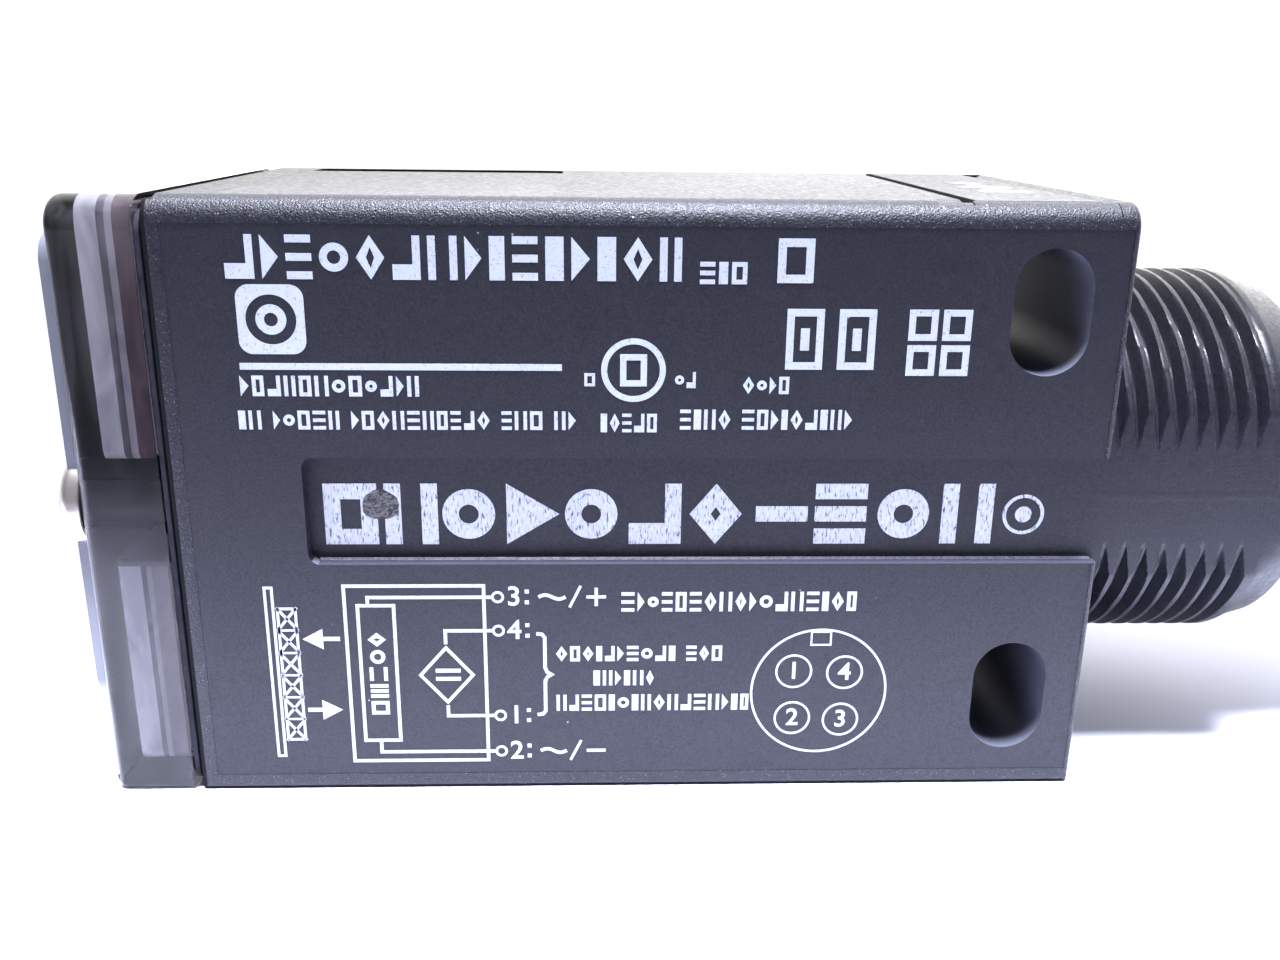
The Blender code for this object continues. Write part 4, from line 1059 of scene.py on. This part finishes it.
# Rows in place of words, each as start, end, low, high, cell, stroke, seed and gaps.
LABEL_ROWS = (
    (5.5, 17.9, 29.95, 31.35, 0.95, 0.26, 7, 0.10),
    (5.2, 28.4, 27.65, 28.95, 0.85, 0.24, 9, 0.14),
    (29.5, 33.7, 27.5, 28.8, 0.75, 0.22, 11, 0.0),
    (34.9, 47.1, 27.7, 29.1, 0.85, 0.24, 13, 0.16),
    (39.1, 42.8, 30.2, 31.4, 0.8, 0.22, 17, 0.0),
    (28.4, 29.2, 30.7, 31.6, 0.75, 0.2, 19, 0.0),
    (34.5, 35.9, 30.6, 31.7, 0.7, 0.2, 21, 0.0),
    (31.0, 47.9, 14.2, 15.7, 0.95, 0.26, 23, 0.08),
    (26.3, 38.9, 10.3, 11.5, 0.85, 0.24, 25, 0.12),
    (29.0, 33.4, 8.35, 9.55, 0.85, 0.24, 27, 0.0),
    (26.3, 40.4, 6.3, 7.6, 0.85, 0.24, 29, 0.12),
)


def label_reflector(ink):
    """The reflector strip with its triangles, and the two beam arrows."""
    line = 0.2
    ink.frame((5.75, 2.65), (6.45, 16.2), line)
    count, low, high, left, right = 6, 4.0, 14.6, 6.55, 8.0
    ink.frame((left, low), (right, high), line)
    step = (high - low) / count
    for i in range(count):
        bottom, top = low + i * step, low + (i + 1) * step
        ink.line([(left, bottom), (right, top)], 0.2)
        ink.line([(left, top), (right, bottom)], 0.2)
        if i:
            ink.line([(left, bottom), (right, bottom)], 0.16)
    leftward = [(8.25, 12.15), (9.7, 12.95), (9.7, 12.32), (10.9, 12.32), (10.9, 12.0), (9.7, 12.0),
                (9.7, 11.35)]
    rightward = [(10.75, 6.5), (9.3, 7.3), (9.3, 6.67), (8.25, 6.67), (8.25, 6.35), (9.3, 6.35), (9.3, 5.7)]
    ink.shapes += [(leftward,), (rightward,)]


def label_wiring(ink):
    """The block diagram: case, sensing element, output switch, and four numbered terminals."""
    line = 0.25
    ink.frame((11.25, 2.15), (21.35, 16.35), line)
    ink.frame((12.15, 3.85), (14.95, 14.85), line)
    sign_row_up(ink, (12.85, 6.1), (14.15, 12.9))
    for x, z, level in ((13.0, 14.8, 15.35), (13.4, 3.85, 3.0), (18.4, 11.7, 12.75), (18.4, 6.8, 5.95)):
        ink.line([(x, z), (x, level), (21.1, level)], line)
    outer = [(18.4, 6.9), (20.45, 9.25), (18.4, 11.6), (16.35, 9.25)]
    inner = [(18.4, 7.27), (20.13, 9.25), (18.4, 11.23), (16.67, 9.25)]
    ink.shape(outer, inner)
    ink.rectangle((17.6, 9.45), (19.4, 9.75))
    ink.rectangle((17.6, 8.8), (19.4, 9.1))
    for text, z in (("3", 15.35), ("4", 12.75), ("1", 5.95), ("2", 3.0)):
        ink.line([(21.32, z), (21.8, z)], line)
        ink.ring((22.2, z), 0.46, 0.19, 32)
        ink.digits.append((text, (23.35, z), 1.5))
        ink.rectangle((24.12, z + 0.28), (24.42, z + 0.58))
        ink.rectangle((24.12, z - 0.55), (24.42, z - 0.25))
    for z in (15.35, 3.0):
        wave = [(25.1 + 0.16 * i, z + 0.16 * math.sin(i * math.pi / 6.0)) for i in range(13)]
        ink.line(wave, 0.26)
        ink.line([(27.3, z - 0.8), (28.1, z + 0.85)], 0.2)
        ink.rectangle((28.5, z - 0.12), (29.9, z + 0.12))
    ink.rectangle((29.08, 15.47), (29.32, 16.05))
    ink.rectangle((29.08, 14.65), (29.32, 15.23))
    brace = [(24.9, 12.5), (25.3, 12.45), (25.5, 12.2), (25.5, 9.8), (25.65, 9.45), (25.95, 9.25),
             (25.65, 9.05), (25.5, 8.7), (25.5, 6.3), (25.3, 6.05), (24.9, 6.0)]
    ink.line(brace, 0.26)


def sign_row_up(ink, low, high):
    """Five signs one above another, for the words that run up the sensing element."""
    cell = (high[1] - low[1]) / 5.0
    for i, kind in enumerate(("window", "stack", "bars", "ring", "diamond")):
        bottom = low[1] + i * cell
        add_sign(ink, kind, (low[0], bottom), (high[0], bottom + cell * 0.8), 0.28)


def label_pinout(ink):
    """The keyed socket seen from the front, with its four numbered contacts."""
    centre = (45.55, 7.75)
    ink.ring(centre, 5.05, 0.17, 96)
    ink.frame((44.75, 11.45), (46.3, 12.62), 0.14)
    for text, u, v in (("1", 43.65, 9.4), ("4", 47.4, 9.3), ("2", 43.7, 5.6), ("3", 47.3, 5.45)):
        ink.ring((u, v), 1.36, 0.16, 48)
        ink.digits.append((text, (u, v), 1.4))


def make_label():
    ink = Print()
    label_heading(ink)
    label_emblems(ink)
    for row in LABEL_ROWS:
        sign_row(ink, *row)
    label_reflector(ink)
    label_wiring(ink)
    label_pinout(ink)
    ink_piece("label_print", ink, on_label_side(PANEL_DEPTH - HALF_WIDTH), "ink")


def make_band_print():
    """A row of bold abstract signs in the sunk band, and the scuffed patch over one of them."""
    plane = BAND_DEPTH - HALF_WIDTH
    ink = Print()
    cells = (("window", 10.2), ("bars", 14.4), ("ring", 18.4), ("wedge", 22.9), ("ring", 27.0),
             ("steps", 31.5), ("diamond", 35.8), ("dash", 40.5), ("stack", 44.7),
             ("ring", 49.2), ("bars", 53.8))
    for kind, x in cells:
        add_sign(ink, kind, (x, 19.0), (x + 3.7, 23.5), 1.15)
    ink.ring((59.7, 21.2), 1.5, 0.25, 48)
    ink.shape(circle((59.7, 21.2), 0.6, 32))
    ink_piece("band_print", ink, on_label_side(plane), "band_ink")
    scuff = Print()
    draw = random.Random(4)
    rim = []
    for i in range(26):
        angle = math.tau * i / 26
        reach = draw.uniform(0.92, 1.06)
        rim.append((14.15 + 1.35 * reach * math.cos(angle), 21.95 + 1.1 * reach * math.sin(angle)))
    scuff.shape(rim)
    ink_piece("band_scuff", scuff, on_label_side(plane - 0.01), "scuffed")


def make_lid_print():
    """A row of small signs across the lid, which read up its width."""
    ink = Print()
    sign_row(ink, -8.0, 4.6, 57.4, 61.2, 2.0, 0.6, 31, 0.1)
    turn = Matrix.Translation((118.6, 0.0, HEIGHT + FILM / 2.0)) @ Matrix.Rotation(math.pi / 2.0, 4, "Z")
    ink_piece("lid_print", ink, turn, "ink", "lid")


# ---- stage, light and camera

def make_stage():
    made = bmesh.new()
    bmesh.ops.create_grid(made, x_segments=1, y_segments=1, size=3.0)
    mesh = bpy.data.meshes.new("floor")
    made.to_mesh(mesh)
    made.free()
    floor = link("floor", mesh)
    floor.location = (0.0, 0.0, -0.00002)
    pale = new_material("floor_with_painted_shadow", (0.88, 0.89, 0.91), 0.7)
    split = new_node(pale, "SeparateXYZ", Vector=coordinates(pale))
    # Painted shadow: the floor's colour is darker in front of the object towards the camera, and pale only
    # close round the object and behind it.
    ahead = spread(pale, split.outputs["Y"], -0.30, 0.0, 0.0, 1.0)
    near, middle, far = (0.44, 0.43, 0.52), (0.36, 0.355, 0.45), (0.35, 0.35, 0.44)
    colour_by(pale, ahead, (0.0, near), (0.60, middle), (0.80, far), (0.87, (0.76, 0.77, 0.90)))
    mesh.materials.append(pale)


def make_world():
    """A pale studio: bright behind the object, less so to the left, dim on the label's side."""
    world = bpy.data.worlds.new("studio")
    SCENE.world = world
    world.use_nodes = True
    towards = new_node(world, "TexCoord").outputs["Generated"]
    split = new_node(world, "SeparateXYZ", Vector=towards)
    white = (1.0, 1.0, 1.0)
    stops = ((0.0, (0.04, 0.045, 0.065)), (0.35, (0.06, 0.066, 0.09)), (0.55, (0.29, 0.31, 0.36)),
             (0.72, white), (1.0, white))
    colour = ramp(world, spread(world, split.outputs["Y"], -1.0, 1.0, 0.0, 1.0), stops)
    strength = spread(world, split.outputs["X"], -0.9, 0.15, 0.5, 4.1)
    feed(world, world.node_tree.nodes["Background"], {"Color": colour, "Strength": strength})


def make_light():
    """One long narrow light overhead, along the label's side."""
    data = bpy.data.lights.new("key", "AREA")
    data.shape = "RECTANGLE"
    data.size, data.size_y = 0.34, 0.03
    data.energy = 0.60
    data.color = (0.82, 0.85, 1.0)
    data.spread = math.radians(30.0)
    lamp = link("key", data)
    place_at, target = Vector((0.0, -0.038, 0.20)), Vector((0.0, -0.036, 0.0))
    lamp.location = place_at
    lamp.rotation_euler = (target - place_at).to_track_quat("-Z", "Y").to_euler()


def make_camera():
    """The camera stands in front of the label face, a little above it, and looks slightly down."""
    data = bpy.data.cameras.new("camera")
    data.sensor_width = 36.0
    data.lens = 33.18
    data.clip_start = 0.001
    data.clip_end = 10.0
    camera = link("camera", data)
    yaw, pitch, roll = 0.038, 0.307, 0.012
    ahead = Vector((math.sin(yaw) * math.cos(pitch), math.cos(yaw) * math.cos(pitch), -math.sin(pitch)))
    level = Vector((math.cos(yaw), -math.sin(yaw), 0.0))
    upright = level.cross(ahead)
    right = level * math.cos(roll) + upright * math.sin(roll)
    above = upright * math.cos(roll) - level * math.sin(roll)
    spot = Vector((FRONT_X + 0.029271, -0.095354, 0.048713))
    camera.matrix_world = Matrix.Translation(spot) @ Matrix((right, above, -ahead)).transposed().to_4x4()
    SCENE.camera = camera


def finish_cad_nodes():
    """Gives each CAD node that still shows its slot's detailed material."""
    for entry in frame["record"]["subparts"]:
        node = frame["nodes"][entry["node"]]
        node.data.materials.clear()
        node.data.materials.append(MATERIALS[entry["material_slot"]])


SCENE.view_settings.view_transform = "Standard"
make_stage()
make_world()
make_light()
make_camera()
finish_cad_nodes()
make_housing()
make_window_plate()
make_neck()
make_lid()
make_lens_cover()
make_lenses()
make_lens_gasket()
make_lens_screws()
make_connector()
make_label()
make_band_print()
make_lid_print()
